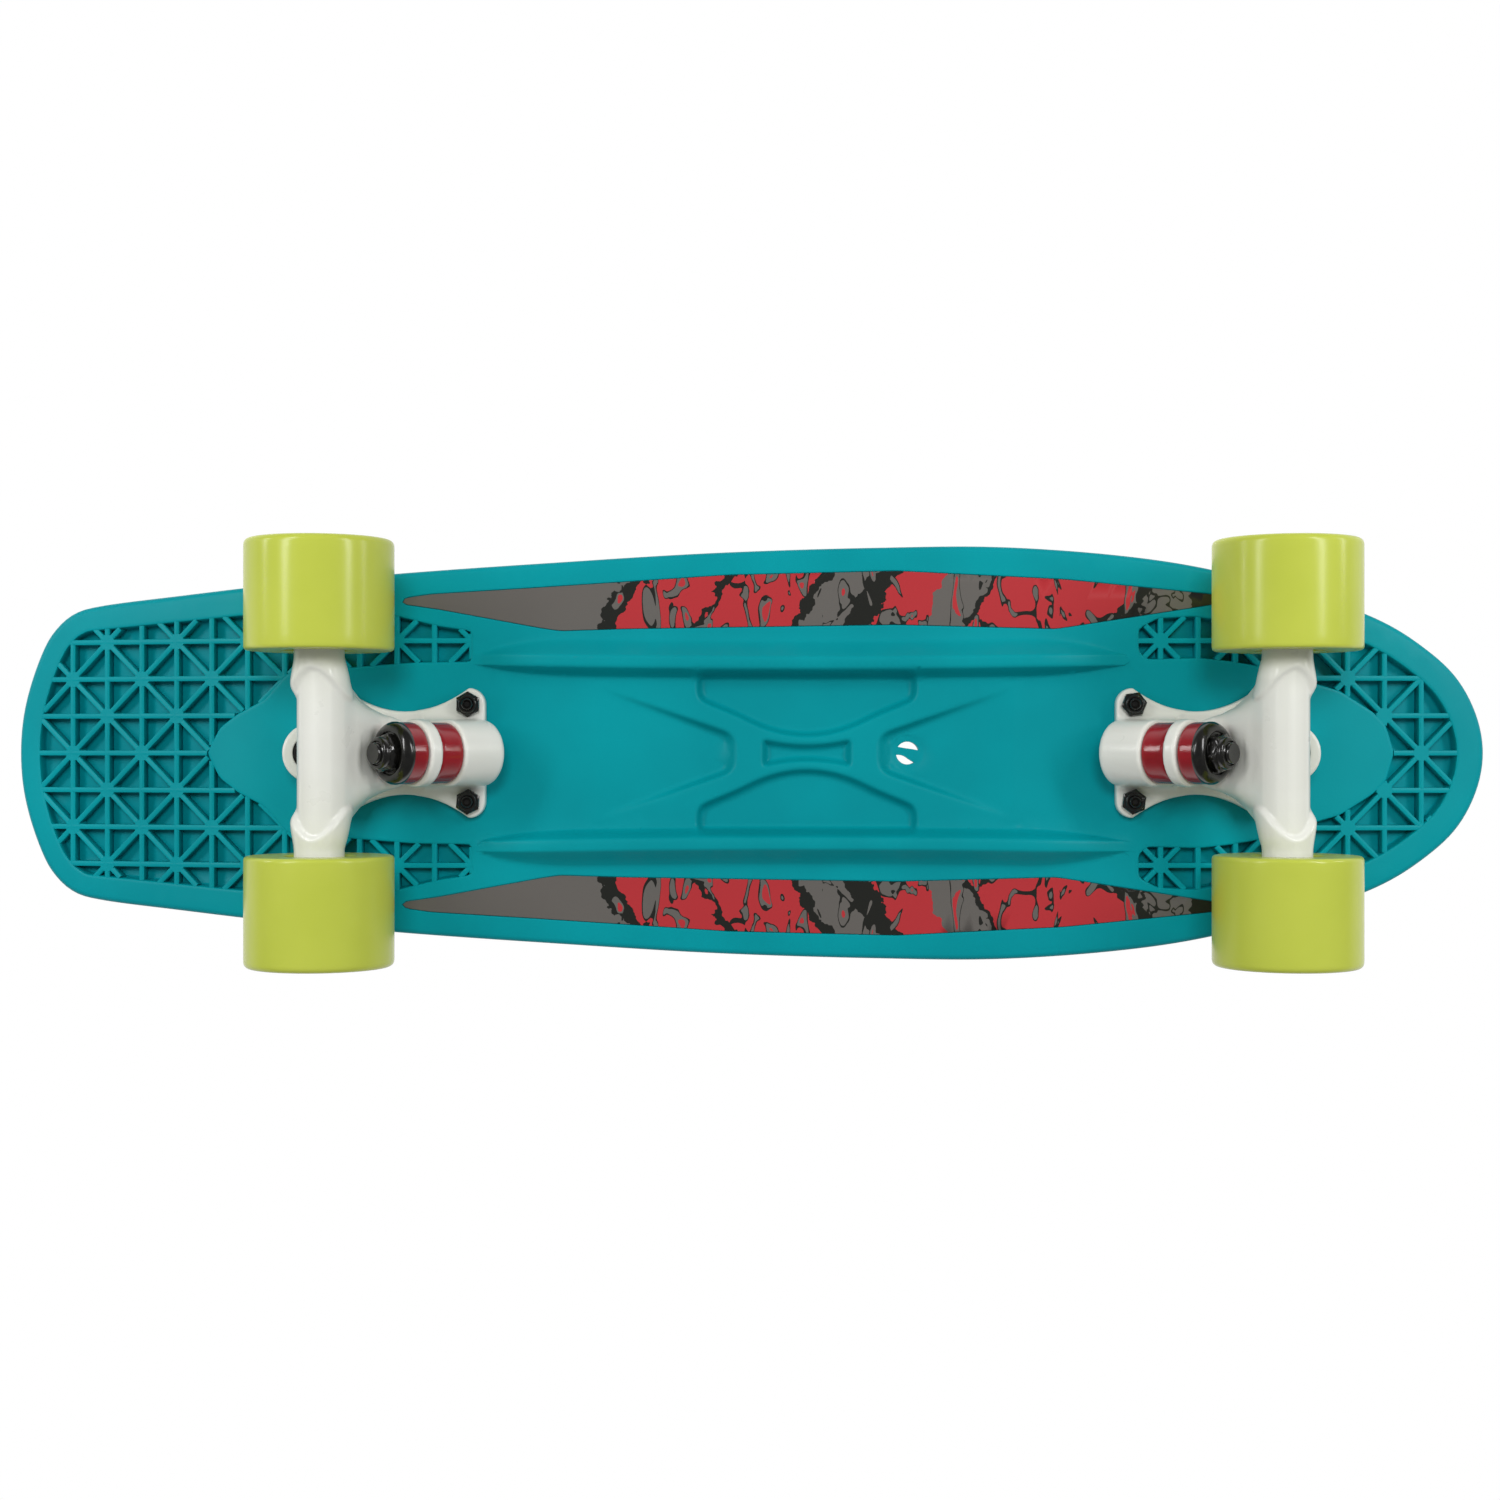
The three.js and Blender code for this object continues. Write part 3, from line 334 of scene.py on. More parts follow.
# Torn slanting bands in grey, red and black with blots over them, alike on both sides of the board
def printedColour(tree, place):
    spot = addNode(tree, "ShaderNodeSeparateXYZ", {"Vector": place}).outputs
    across = addNode(tree, "ShaderNodeMath", {0: spot["Y"]}, operation="ABSOLUTE")
    folded = addNode(tree, "ShaderNodeCombineXYZ", {"X": spot["X"], "Y": across})
    tears = addNode(tree, "ShaderNodeTexNoise",
                    {"Vector": folded, "Scale": 1 / (film["tearSize"] * mm), "Detail": 3, "Roughness": 0.55})
    slant = addNode(tree, "ShaderNodeMath", {0: across, 1: film["bandSlant"], 2: spot["X"]},
                    operation="MULTIPLY_ADD")
    torn = addNode(tree, "ShaderNodeMath", {0: tears, 1: film["tearDepth"] * mm, 2: slant},
                   operation="MULTIPLY_ADD")
    low, high = film["bandSpan"]
    along = addNode(tree, "ShaderNodeMapRange", {"Value": torn, "From Min": low * mm, "From Max": high * mm})
    bands = addNode(tree, "ShaderNodeValToRGB", {"Fac": along})
    ramp = bands.color_ramp
    ramp.interpolation = "CONSTANT"
    for i, (stop, paint) in enumerate(film["bands"]):
        element = ramp.elements.new(stop) if i else ramp.elements[0]
        element.position = stop
        element.color = linear(film[paint])
    ramp.elements.remove(ramp.elements[-1])

    long = addNode(tree, "ShaderNodeMapping",
                   {"Vector": folded, "Scale": film["blotScale"], "Rotation": (0, 0, film["blotTurn"])})
    blots = addNode(tree, "ShaderNodeTexNoise",
                    {"Vector": long, "Scale": 1 / (film["blotSize"] * mm), "Detail": 1.5, "Distortion": 1.1})
    low, high = film["blotsFrom"]
    marked = addNode(tree, "ShaderNodeMapRange",
                     {"Value": spot["X"], "From Min": low * mm, "From Max": high * mm})
    colour = bands.outputs["Color"]
    for edge, paint in film["blots"]:
        step = addNode(tree, "ShaderNodeMath", {0: blots, 1: edge}, operation="GREATER_THAN")
        only = addNode(tree, "ShaderNodeMath", {0: step, 1: marked}, operation="MULTIPLY")
        mix = addNode(tree, "ShaderNodeMix", {0: only, 6: colour, 7: linear(film[paint])}, data_type="RGBA")
        colour = mix.outputs[2]
    return colour


def patchedColour(tree, place, look):
    noise = addNode(tree, "ShaderNodeTexNoise",
                    {"Vector": place, "Scale": 1 / (look["patch"] * mm), "Detail": 3})
    low, high = look.get("shadeSpread", (0.35, 0.65))
    share = addNode(tree, "ShaderNodeMapRange", {"Value": noise, "From Min": low, "From Max": high})
    first, second = (linear(shade) for shade in look["shades"])
    return addNode(tree, "ShaderNodeMix", {0: share, 6: first, 7: second}, data_type="RGBA").outputs[2]


def makeFinish(look):
    material, tree = emptyMaterial(look["name"])
    place = addNode(tree, "ShaderNodeTexCoord").outputs["Object"]
    colour = patchedColour(tree, place, look) if "shades" in look else printedColour(tree, place)
    wander = addNode(tree, "ShaderNodeTexNoise",
                     {"Vector": place, "Scale": 1 / (look["glossPatch"] * mm), "Detail": 4})
    low, high = look["roughness"]
    roughness = addNode(tree, "ShaderNodeMapRange", {"Value": wander, "To Min": low, "To Max": high})
    if "grainScale" in look:
        place = addNode(tree, "ShaderNodeMapping", {"Vector": place, "Scale": look["grainScale"]})
    grain = addNode(tree, "ShaderNodeTexNoise",
                    {"Vector": place, "Scale": 1 / (look["grain"] * mm), "Detail": 2})
    relief = addNode(tree, "ShaderNodeBump",
                     {"Height": grain, "Strength": 1, "Distance": look["relief"] * mm})
    shader = addNode(tree, "ShaderNodeBsdfPrincipled",
                     {"Base Color": colour, "Roughness": roughness, "Normal": relief, "IOR": 1.5,
                      **look["sockets"]})
    addNode(tree, "ShaderNodeOutputMaterial", {"Surface": shader})
    return material


finishes = {slot: makeFinish(look) for slot, look in looks.items()}
print("materials made")


# Meshes

def meshPiece(name, points, faces, slot, sharpAngle=40):
    mesh = bpy.data.meshes.new(name)
    mesh.from_pydata((np.asarray(points) * mm).tolist(), [], [list(map(int, face)) for face in faces])
    mesh.validate()
    mesh.shade_smooth()
    mesh.set_sharp_from_angle(angle=math.radians(sharpAngle))
    mesh.materials.append(finishes[slot])
    return link(bpy.data.objects.new(name, mesh))


def resampled(loop, spacing):
    closed = np.vstack([loop, loop[:1]])
    along = np.concatenate([[0], np.cumsum(np.linalg.norm(np.diff(closed, axis=0), axis=1))])
    count = max(8, round(along[-1] / spacing))
    stops = np.arange(count) / count * along[-1]
    return np.column_stack([np.interp(stops, along, closed[:, axis]) for axis in (0, 1)])


# A closed outline with its corners eased over about the given length
def softened(loop, spacing, easing, fineStep=0.25):
    line = resampled(np.asarray(loop, float), fineStep)
    reach = max(1, round(easing / fineStep / 2))
    for _ in range(3):
        padded = np.vstack([line[-reach:], line, line[:reach]])
        total = np.cumsum(np.vstack([np.zeros((1, 2)), padded]), axis=0)
        line = (total[2 * reach + 1 :] - total[: -2 * reach - 1]) / (2 * reach + 1)
    return resampled(line, spacing)


# The outline moved outwards by a distance, or inwards where it is negative; loops run anticlockwise
def moved(loop, distance):
    before = loop - np.roll(loop, 1, axis=0)
    after = np.roll(loop, -1, axis=0) - loop
    before /= np.linalg.norm(before, axis=1)[:, None]
    after /= np.linalg.norm(after, axis=1)[:, None]
    way = before + after
    way /= np.linalg.norm(way, axis=1)[:, None]
    square = np.clip(np.sum(way * before, axis=1), 0.5, 1)
    return loop + np.column_stack([way[:, 1], -way[:, 0]]) * (distance / square)[:, None]


def anticlockwise(loop):
    loop = np.asarray(loop, float)
    x, y = loop[:, 0], loop[:, 1]
    turning = np.sum(x * np.roll(y, -1) - np.roll(x, -1) * y)
    return loop if turning > 0 else loop[::-1]


# Distance to a closed outline, negative inside it
def loopDistance(points, loop):
    nearest = np.full(len(points), np.inf)
    inside = np.zeros(len(points), bool)
    for start, end in zip(loop, np.roll(loop, -1, axis=0)):
        edge = end - start
        way = points - start
        share = np.clip(way @ edge / max(edge @ edge, 1e-12), 0, 1)
        nearest = np.minimum(nearest, np.hypot(way[:, 0] - share * edge[0], way[:, 1] - share * edge[1]))
        if edge[1] != 0:
            crosses = (start[1] > points[:, 1]) != (end[1] > points[:, 1])
            inside ^= crosses & (way[:, 0] < way[:, 1] * edge[0] / edge[1])
    return np.where(inside, -nearest, nearest)


def turnsRound(sides):
    return 2 * math.pi * np.arange(sides) / sides


def smoothStep(value):
    value = np.clip(value, 0, 1)
    return value * value * (3 - 2 * value)


# A table of steps with a value at each, read between its steps
def tabled(value, table):
    return np.interp(value, *np.array(table).T)


# Faces between two rings with as many points, the first one below
def band(below, above):
    return zip(below, np.roll(below, -1), np.roll(above, -1), above)


# Deck

deck = {
    "thickness": 11,
    "edgeRound": 2.5,
    "outlineStep": 3.2,
    "meshStep": 7,
    "tailKick": {"length": 119.5, "radius": 120, "angle": 13},
    "noseKick": {"length": 71.5, "radius": 200, "angle": 3.5},
    "fieldDepth": 7,
    "fieldStep": 1.6,
    "fieldEasing": 2.2,
    "rimMargin": {"tail": 9.7, "nose": 12},
    "stripRecess": 0.8,
    "stripStep": 2.2,
    "stripEasing": 2.4,
    "railHeight": 8.7,
    "railCrest": 39.5,  # from the middle of the board
    "railSplay": 1.6,  # how far each end of a rail bows outwards
    "railTaper": 44,
    "railBluntness": 0.6,  # of the tail end: below 1 it rises faster
    "railFlat": (-3.4, 0.8),  # the part of its section that keeps its width where the rail dies away
    "railLeast": 0.05,  # the least share of their width that its walls narrow to
    "railTailSetback": 59,
    "railNoseSetback": 55,
    "railStep": 3.5,
    "plateCentre": 26.8,
    "plateDepth": 4.5,
    "plateStep": 1.2,
    "pocketLength": 93,
    "pocketEdge": 34,
    "pocketCorner": 23,
    "pocketShoulder": (28.4, 15.5),
    "pocketWaist": 7.3,
    "pocketEasing": 5,
    "tieLength": 36.8,
    "tieEnd": 10.8,
    "tieWaist": 6.4,
    "tieStep": 0.9,
    "tieEasing": 1.6,
    "veeApex": 29.2,
    "veeHalf": [(0, 3.4), (1.1, 6), (4.5, 8.5), (61, 28.45)],  # along it from its apex, and out to its edge
    "veeEasing": 3,
    "veeStart": 7,  # where it is deepest
    "veeFade": {"from": 1.3, "length": 59},
    "holeX": 70.1,
    "holeDiameter": 9.8,
    # Round the drain hole: distance from its middle, and how much lower the face is there
    "holeDish": [(4.9, 0.8), (5.6, 0.35), (7.3, 0.35), (7.9, 0)],
    "holeRings": (6.1, 7.3, 7.9),
    # The two edges of the bar across the hole, from tail to nose
    "holeBarEdges": ([(-5, -2.9), (-3.5, -2.55), (-1, -2.1), (2, -1.7), (5, -1.1)],
                     [(-5, 0.8), (-3.5, 0.8), (-2, 1.05), (-0.6, 1.8), (0.6, 2.7), (2.4, 3.8), (4, 4.4)]),
    "gripMargin": 13,
    "gripDepth": 0.7,
    "padMargin": 11,
    "padStep": 2,
    "padEasing": 9,
    "boltHole": 5.4,
    "countersink": 10.4,
    "countersinkDepth": 3,
}

# Outline from tail tip to nose tip: shares of the half length and half width
outlineShares = [
    (-1, 0), (-0.996, 0.18), (-0.983, 0.36), (-0.961, 0.545), (-0.947, 0.613), (-0.931, 0.665),
    (-0.912, 0.701), (-0.882, 0.724), (-0.762, 0.77), (-0.471, 0.869), (-0.255, 0.924), (-0.039, 0.971),
    (0.178, 0.996), (0.339, 1), (0.499, 0.961), (0.609, 0.905), (0.73, 0.8), (0.85, 0.658),
    (0.909, 0.538), (0.962, 0.372), (0.991, 0.182), (1, 0),
]
fieldShares = {
    "tail": [
        (-1.02, 0), (-1.02, 0.562), (-0.674, 0.665), (-0.472, 0.665), (-0.411, 0.612), (-0.367, 0.589),
        (-0.367, 0.441), (-0.444, 0.437), (-0.532, 0.412), (-0.614, 0.388), (-0.646, 0.257), (-0.683, 0.189),
        (-0.708, 0.121), (-0.726, 0),
    ],
    "nose": [
        (0.876, 0), (0.865, 0.133), (0.847, 0.199), (0.802, 0.3), (0.769, 0.334), (0.69, 0.421),
        (0.652, 0.444), (0.613, 0.459), (0.542, 0.453), (0.531, 0.49), (0.531, 0.6), (0.556, 0.65),
        (0.605, 0.66), (0.83, 0.532), (1.02, 0.532), (1.02, 0),
    ],
}
stripShares = [
    (-0.463, 0.731), (-0.458, 0.715), (-0.446, 0.71), (-0.411, 0.692), (-0.274, 0.602), (-0.248, 0.588),
    (-0.157, 0.598), (0.205, 0.618), (0.42, 0.598), (0.628, 0.713), (0.658, 0.736), (0.628, 0.77),
    (0.431, 0.841), (0.205, 0.882), (-0.022, 0.862), (-0.274, 0.802), (-0.422, 0.769), (-0.458, 0.75),
]

# Cross section of a rail: distance out from its crest, and share of its height there
railSection = [
    (-8.6, 0), (-7.8, 0.03), (-7.2, 0.12), (-5.7, 0.49), (-4.2, 0.86), (-3.6, 0.95), (-2.8, 0.99),
    (-1.8, 1), (-0.6, 1), (0.4, 1), (0.9, 0.985), (1.4, 0.95), (2.0, 0.87), (4.6, 0.51), (7.4, 0.14),
    (8.4, 0.06), (10, 0.01), (12, 0),
]

# How an edge falls into a recess: distance inside its outline, and share of its depth there
softEdge = [(-2.6, 0), (-1.7, 0), (-1, 0.04), (-0.4, 0.14), (0.15, 0.34), (0.75, 0.6), (1.4, 0.82),
            (2.2, 0.95), (3, 1), (4, 1)]
steepEdge = [(-1.5, 0), (-0.55, 0), (-0.22, 0.02), (0, 0.09), (0.2, 0.25), (0.45, 0.8), (0.75, 0.94),
             (1.3, 1)]
crispEdge = [(-0.9, 0), (-0.16, 0), (0, 0.12), (0.12, 1), (0.6, 1)]


def kickRise(past, kick):
    angle = math.radians(kick["angle"])
    run = kick["radius"] * math.sin(angle)
    arc = kick["radius"] - np.sqrt(kick["radius"] ** 2 - np.clip(past, 0, run) ** 2)
    return arc + np.maximum(past - run, 0) * math.tan(angle)


def deckRise(x):
    tail = kickRise(deck["tailKick"]["length"] - halfLength - x, deck["tailKick"])
    return tail + kickRise(x - halfLength + deck["noseKick"]["length"], deck["noseKick"])


# A closed centripetal curve through points
def curveThrough(points, perSpan):
    points = np.asarray(points, float)
    shares = (np.arange(perSpan) / perSpan)[:, None]
    spans = []
    for i in range(len(points)):
        p0, p1, p2, p3 = (points[(i + k) % len(points)] for k in (-1, 0, 1, 2))
        d0, d1, d2 = (math.sqrt(np.linalg.norm(b - a)) for a, b in ((p0, p1), (p1, p2), (p2, p3)))
        leave = ((p1 - p0) / d0 - (p2 - p0) / (d0 + d1) + (p2 - p1) / d1) * d1
        arrive = ((p2 - p1) / d1 - (p3 - p1) / (d1 + d2) + (p3 - p2) / d2) * d1
        bend = 2 * (p1 - p2) + leave + arrive
        swing = 3 * (p2 - p1) - 2 * leave - arrive
        spans.append(bend * shares**3 + swing * shares**2 + leave * shares + p1)
    return np.vstack(spans)


def bothSides(half):
    half = np.asarray(half, float)
    far = half[1:-1][::-1] * [1, -1]
    return anticlockwise(np.vstack([half, far]))


def deckOutline():
    loop = bothSides(np.array(outlineShares) * [halfLength, halfWidth])
    loop = resampled(curveThrough(loop, 24), deck["outlineStep"])
    return loop * [1, halfWidth / loop[:, 1].max()]


# The part of an outline that lies inside a convex one
def clipped(loop, convex):
    kept = list(loop)
    for start, end in zip(convex, np.roll(convex, -1, axis=0)):
        inward = np.array([start[1] - end[1], end[0] - start[0]])
        given, kept = kept, []
        for i, here in enumerate(given):
            last = given[i - 1]
            a, b = (last - start) @ inward, (here - start) @ inward
            if (a > 0) != (b > 0):
                kept.append(last + (here - last) * a / (a - b))
            if b > 0:
                kept.append(here)
    return np.array(kept)


def fieldLoop(end):
    whole = bothSides(np.array(fieldShares[end]) * [halfLength, halfWidth])
    rim = moved(deckOutline(), -deck["rimMargin"][end])
    return softened(clipped(whole, rim[::3]), deck["fieldStep"], deck["fieldEasing"])


def stripLoop(side, gap=0.0):
    loop = np.array(stripShares) * [halfLength, halfWidth * side]
    return moved(softened(anticlockwise(loop), deck["stripStep"], deck["stripEasing"]), -gap)


# A curve from start towards end, which is left out
def bowed(start, middle, end, steps=12):
    t = (np.arange(steps) / steps)[:, None]
    start, middle, end = (np.asarray(point, float) for point in (start, middle, end))
    return start * (1 - t) ** 2 + 2 * middle * t * (1 - t) + end * t**2


def platePocketLoop(side):
    half, edge, corner = deck["pocketLength"] / 2, deck["pocketEdge"], deck["pocketCorner"]
    x, y = deck["pocketShoulder"]
    arch = bowed((x, y), (0, 2 * deck["pocketWaist"] - y), (-x, y))
    loop = np.vstack([[(-half, edge), (half, edge), (half, corner)], arch, [(-x, y), (-half, corner)]])
    loop = loop * [1, side] + [deck["plateCentre"], 0]
    return softened(anticlockwise(loop), deck["plateStep"], deck["pocketEasing"])


def tieLoop():
    half, end = deck["tieLength"] / 2, deck["tieEnd"] / 2
    near = bowed((-half, -end), (0, end - deck["tieWaist"]), (half, -end))
    far = bowed((half, end), (0, deck["tieWaist"] - end), (-half, end))
    loop = np.vstack([near, [(half, -end)], far, [(-half, end)]]) + [deck["plateCentre"], 0]
    return softened(anticlockwise(loop), deck["tieStep"], deck["tieEasing"])


def veeLoop(side):
    half = deck["veeHalf"]
    loop = np.array([*half, *[(x, -y) for x, y in reversed(half)]]) + [deck["veeApex"], 0]
    loop = loop * [side, 1] + [deck["plateCentre"], 0]
    return softened(anticlockwise(loop), deck["plateStep"], deck["veeEasing"])


def circleLoop(centre, diameter, sides):
    turn = turnsRound(sides)
    return np.column_stack([np.cos(turn), np.sin(turn)]) * diameter / 2 + centre


# The two half-moon openings that a curved bar leaves in the drain hole
def drainLoops(radius):
    loops = []
    for edge, side in zip(deck["holeBarEdges"], (-1, 1)):
        x = np.linspace(-radius, radius, 41)
        bar = np.column_stack([x, tabled(x, edge)])
        bar = bar[np.hypot(*bar.T) < radius - 0.1][::2]
        first, last = (math.atan2(bar[i][1], bar[i][0]) for i in (-1, 0))
        sweep = (last - first) % (2 * math.pi) if side > 0 else -((first - last) % (2 * math.pi))
        arc = first + sweep * np.linspace(0, 1, 22)
        rim = np.column_stack([np.cos(arc), np.sin(arc)]) * radius
        loops.append(anticlockwise(np.vstack([bar, rim]) + [deck["holeX"], 0]))
    return loops


def boltPlaces():
    low, high = zip(*(nodeBox(f"{end}_truck_bolt_{i}") for end in ("nose", "tail") for i in (1, 2, 3, 4)))
    return [((a + b) / 2)[:2] for a, b in zip(low, high)]


def railLine(x):
    start = tailAxle[0] + deck["railTailSetback"]
    end = noseAxle[0] - deck["railNoseSetback"]
    share = (x - start) / (end - start)
    crest = deck["railCrest"] + deck["railSplay"] * (2 * np.clip(share, 0, 1) - 1) ** 2
    fromTail, fromNose = (
        np.sin(np.clip(run / deck["railTaper"], 0, 1) * math.pi / 2) for run in (x - start, end - x)
    )
    return start, end, crest, np.minimum(fromTail ** deck["railBluntness"], fromNose)


# Distances out from the crest with the two walls' run stretched by a factor
def wallsStretched(out, factor):
    inner, outer = deck["railFlat"]
    return np.clip(out, inner, outer) + (np.minimum(out - inner, 0) + np.maximum(out - outer, 0)) * factor


def railRelief(points):
    _, _, crest, growth = railLine(points[:, 0])
    out = wallsStretched(np.abs(points[:, 1]) - crest, 1 / np.maximum(growth, deck["railLeast"]))
    return deck["railHeight"] * growth * tabled(out, railSection)


def railPoints(step):
    start, end, _, _ = railLine(0)
    x = np.arange(start + step / 2, end, step)
    _, _, crest, growth = railLine(x)
    widths = [wallsStretched(out, np.maximum(growth, deck["railLeast"])) for out, _ in railSection]
    upper = np.vstack([np.column_stack([x, crest + width]) for width in widths])
    return np.vstack([upper, upper * [1, -1]])


# The vees run out towards their mouths
def veeRamp(points):
    out = np.abs(points[:, 0] - deck["plateCentre"]) - deck["veeApex"]
    fade = deck["veeFade"]
    return smoothStep(out / deck["veeStart"]) * np.clip(fade["from"] * (1 - out / fade["length"]), 0, 1)


# A recess: its outline, how deep it is, the shape of its edge and how it fades, if it does
def recesses():
    plate = deck["plateDepth"]
    found = [(fieldLoop(end), deck["fieldDepth"], steepEdge, None) for end in ("tail", "nose")]
    found.append((tieLoop(), plate, softEdge, None))
    for side in (1, -1):
        found.append((stripLoop(side), deck["stripRecess"], crispEdge, None))
        found.append((platePocketLoop(side), plate, softEdge, None))
        found.append((veeLoop(side), plate, softEdge, veeRamp))
    return found


def undersideDepth(points, cuts):
    depth = np.zeros(len(points))
    for loop, deep, edge, fade in cuts:
        share = tabled(-loopDistance(points, loop), edge)
        if fade:
            share = share * fade(points)
        depth = np.maximum(depth, share * deep)
    fromHole = np.hypot(points[:, 0] - deck["holeX"], points[:, 1])
    return depth + tabled(fromHole, deck["holeDish"]) - railRelief(points)


# One face of the deck as triangles between rings, with points between them and holes left open
def facedSurface(rings, holes, loosePoints, clearance=0.8):
    fixed = [*rings, *holes]
    points = np.vstack(fixed)
    edges, start = [], 0
    for ring in fixed:
        count = len(ring)
        edges += [(start + i, start + (i + 1) % count) for i in range(count)]
        start += count
    near = np.full(len(loosePoints), np.inf)
    for ring in fixed:
        near = np.minimum(near, np.abs(loopDistance(loosePoints, ring)))
    loose = loosePoints[(loopDistance(loosePoints, rings[0]) < 0) & (near > clearance)]
    everything = [Vector(point) for point in np.vstack([points, loose])]
    corners, _, faces, sources, _, _ = delaunay_2d_cdt(everything, edges, [], 0, 1e-5, True)
    corners = np.array([tuple(corner) for corner in corners])
    faces = np.array([face for face in faces if len(face) == 3])
    middles = corners[faces].mean(axis=1)
    kept = loopDistance(middles, rings[0]) < 0
    for hole in holes:
        kept &= loopDistance(middles, hole) > 0
    fresh = {old: new for new, olds in enumerate(sources) for old in olds}
    ids, start = [], 0
    for ring in fixed:
        ids.append([fresh[start + i] for i in range(len(ring))])
        start += len(ring)
    return corners, faces[kept], ids[0], ids[len(rings) :]


# Points in rows a step apart, every other row shifted by half a step
def scattered(step):
    along = np.arange(-halfLength, halfLength, step)
    rows = np.arange(-halfWidth, halfWidth, step * math.sqrt(3) / 2)
    return np.array([(x + (i % 2) * step / 2, y) for i, y in enumerate(rows) for x in along])


def deckShell():
    outline = deckOutline()
    easing = deck["edgeRound"]
    inner = moved(outline, -easing)
    cuts = recesses()
    bolts = boltPlaces()
    openings = drainLoops(deck["holeDiameter"] / 2)
    openings += [circleLoop(place, deck["boltHole"], 16) for place in bolts]

    rings = [inner] + [moved(loop, -inside) for loop, _, edge, _ in cuts for inside, _ in edge]
    rings += [circleLoop((deck["holeX"], 0), 2 * radius, 40) for radius in deck["holeRings"]]
    loose = np.vstack([scattered(deck["meshStep"]), railPoints(deck["railStep"])])
    low, lowFaces, lowRim, lowHoles = facedSurface(rings, openings, loose)
    lowZ = underZ + deckRise(low[:, 0]) + undersideDepth(low, cuts)

    gripEdge = moved(outline, -deck["gripMargin"])
    pads = [padLoop(end) for end in (noseAxle[0], tailAxle[0])]
    rings = [inner] + [moved(gripEdge, -inside) for inside, _ in crispEdge]
    rings += [moved(pad, inside) for pad in pads for inside, _ in crispEdge]
    rings += [circleLoop(place, deck["countersink"], 24) for place in bolts]
    high, highFaces, highRim, highHoles = facedSurface(rings, openings, scattered(deck["meshStep"]))
    highZ = underZ + deck["thickness"] + deckRise(high[:, 0]) - topDepth(high, gripEdge, pads, bolts)

    # The rounded edge: rings between the two faces, from the underside round to the top
    turns = np.linspace(0, math.pi / 2, 6)[1:]
    edge = [(easing * (1 - math.sin(turn)), easing * (1 - math.cos(turn))) for turn in turns]
    edge += [(inset, deck["thickness"] - height) for inset, height in reversed(edge)]
    points = [np.column_stack([low, lowZ]), np.column_stack([high, highZ])]
    start = len(low) + len(high)
    chain = [np.array(lowRim)]
    for inset, height in edge[:-1]:
        ring = moved(outline, -inset)
        points.append(np.column_stack([ring, underZ + deckRise(ring[:, 0]) + height]))
        chain.append(start + np.arange(len(ring)))
        start += len(ring)
    chain.append(np.array(highRim) + len(low))
    faces = [*lowFaces[:, ::-1], *(highFaces + len(low))]
    for below, above in zip(chain, chain[1:]):
        faces += band(below, above)
    for below, above in zip(lowHoles, highHoles):
        faces += band(np.array(above) + len(low), np.array(below))
    return meshPiece("deck_shell", np.vstack(points), faces, "deck_plastic", 45)


# The smooth pad round each truck's four bolts, in the grip on the top
def padLoop(axleX):
    near = [place for place in boltPlaces() if abs(place[0] - axleX) < halfLength / 2]
    low, high = np.min(near, axis=0) - deck["padMargin"], np.max(near, axis=0) + deck["padMargin"]
    corners = [low, (high[0], low[1]), high, (low[0], high[1])]
    return softened(corners, deck["padStep"], deck["padEasing"])


def topDepth(points, gripEdge, pads, bolts):
    sunk = tabled(-loopDistance(points, gripEdge), crispEdge)
    for pad in pads:
        sunk *= tabled(loopDistance(points, pad), crispEdge)
    depth = sunk * deck["gripDepth"]
    cone = [(deck["boltHole"] / 2, deck["countersinkDepth"]), (deck["countersink"] / 2, 0)]
    for bolt in bolts:
        depth = np.maximum(depth, tabled(np.hypot(*(points - bolt).T), cone))
    return depth


shell = deckShell()
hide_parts("deck")
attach(shell, "board")
print("deck shell made:", len(shell.data.polygons), "faces")


# Geometry Nodes helpers

def startTree(name, sizes):
    tree = bpy.data.node_groups.new(name, "GeometryNodeTree")
    tree.interface.new_socket("Geometry", in_out="INPUT", socket_type="NodeSocketGeometry")
    for size in sizes:
        tree.interface.new_socket(size, in_out="INPUT", socket_type="NodeSocketFloat")
    tree.interface.new_socket("Geometry", in_out="OUTPUT", socket_type="NodeSocketGeometry")
    return tree, addNode(tree, "NodeGroupInput").outputs


def endTree(tree, geometry, slot):
    real = addNode(tree, "GeometryNodeRealizeInstances", {"Geometry": geometry})
    painted = addNode(tree, "GeometryNodeSetMaterial", {"Geometry": real, "Material": finishes[slot]})
    addNode(tree, "NodeGroupOutput", {"Geometry": painted})


# What a tree grows from a mesh, as a plain mesh of its own; sizes in millimetres by input name
def grown(name, mesh, tree, sizes, sharpAngle=40):
    seed = link(bpy.data.objects.new(name + "_seed", mesh))
    modifier = seed.modifiers.new(name, "NODES")
    modifier.node_group = tree
    for socket in tree.interface.items_tree:
        if socket.name in sizes:
            modifier[socket.identifier] = sizes[socket.name] * mm
    evaluated = seed.evaluated_get(bpy.context.evaluated_depsgraph_get())
    made = bpy.data.meshes.new_from_object(evaluated)
    bpy.data.objects.remove(seed)
    made.shade_smooth()
    made.set_sharp_from_angle(angle=math.radians(sharpAngle))
    made.name = name
    return link(bpy.data.objects.new(name, made))


def dress(piece, node, body="board"):
    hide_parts(node)
    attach(piece, body)


# Ribs: square rows crossed by diagonals, with a boss where eight ribs meet

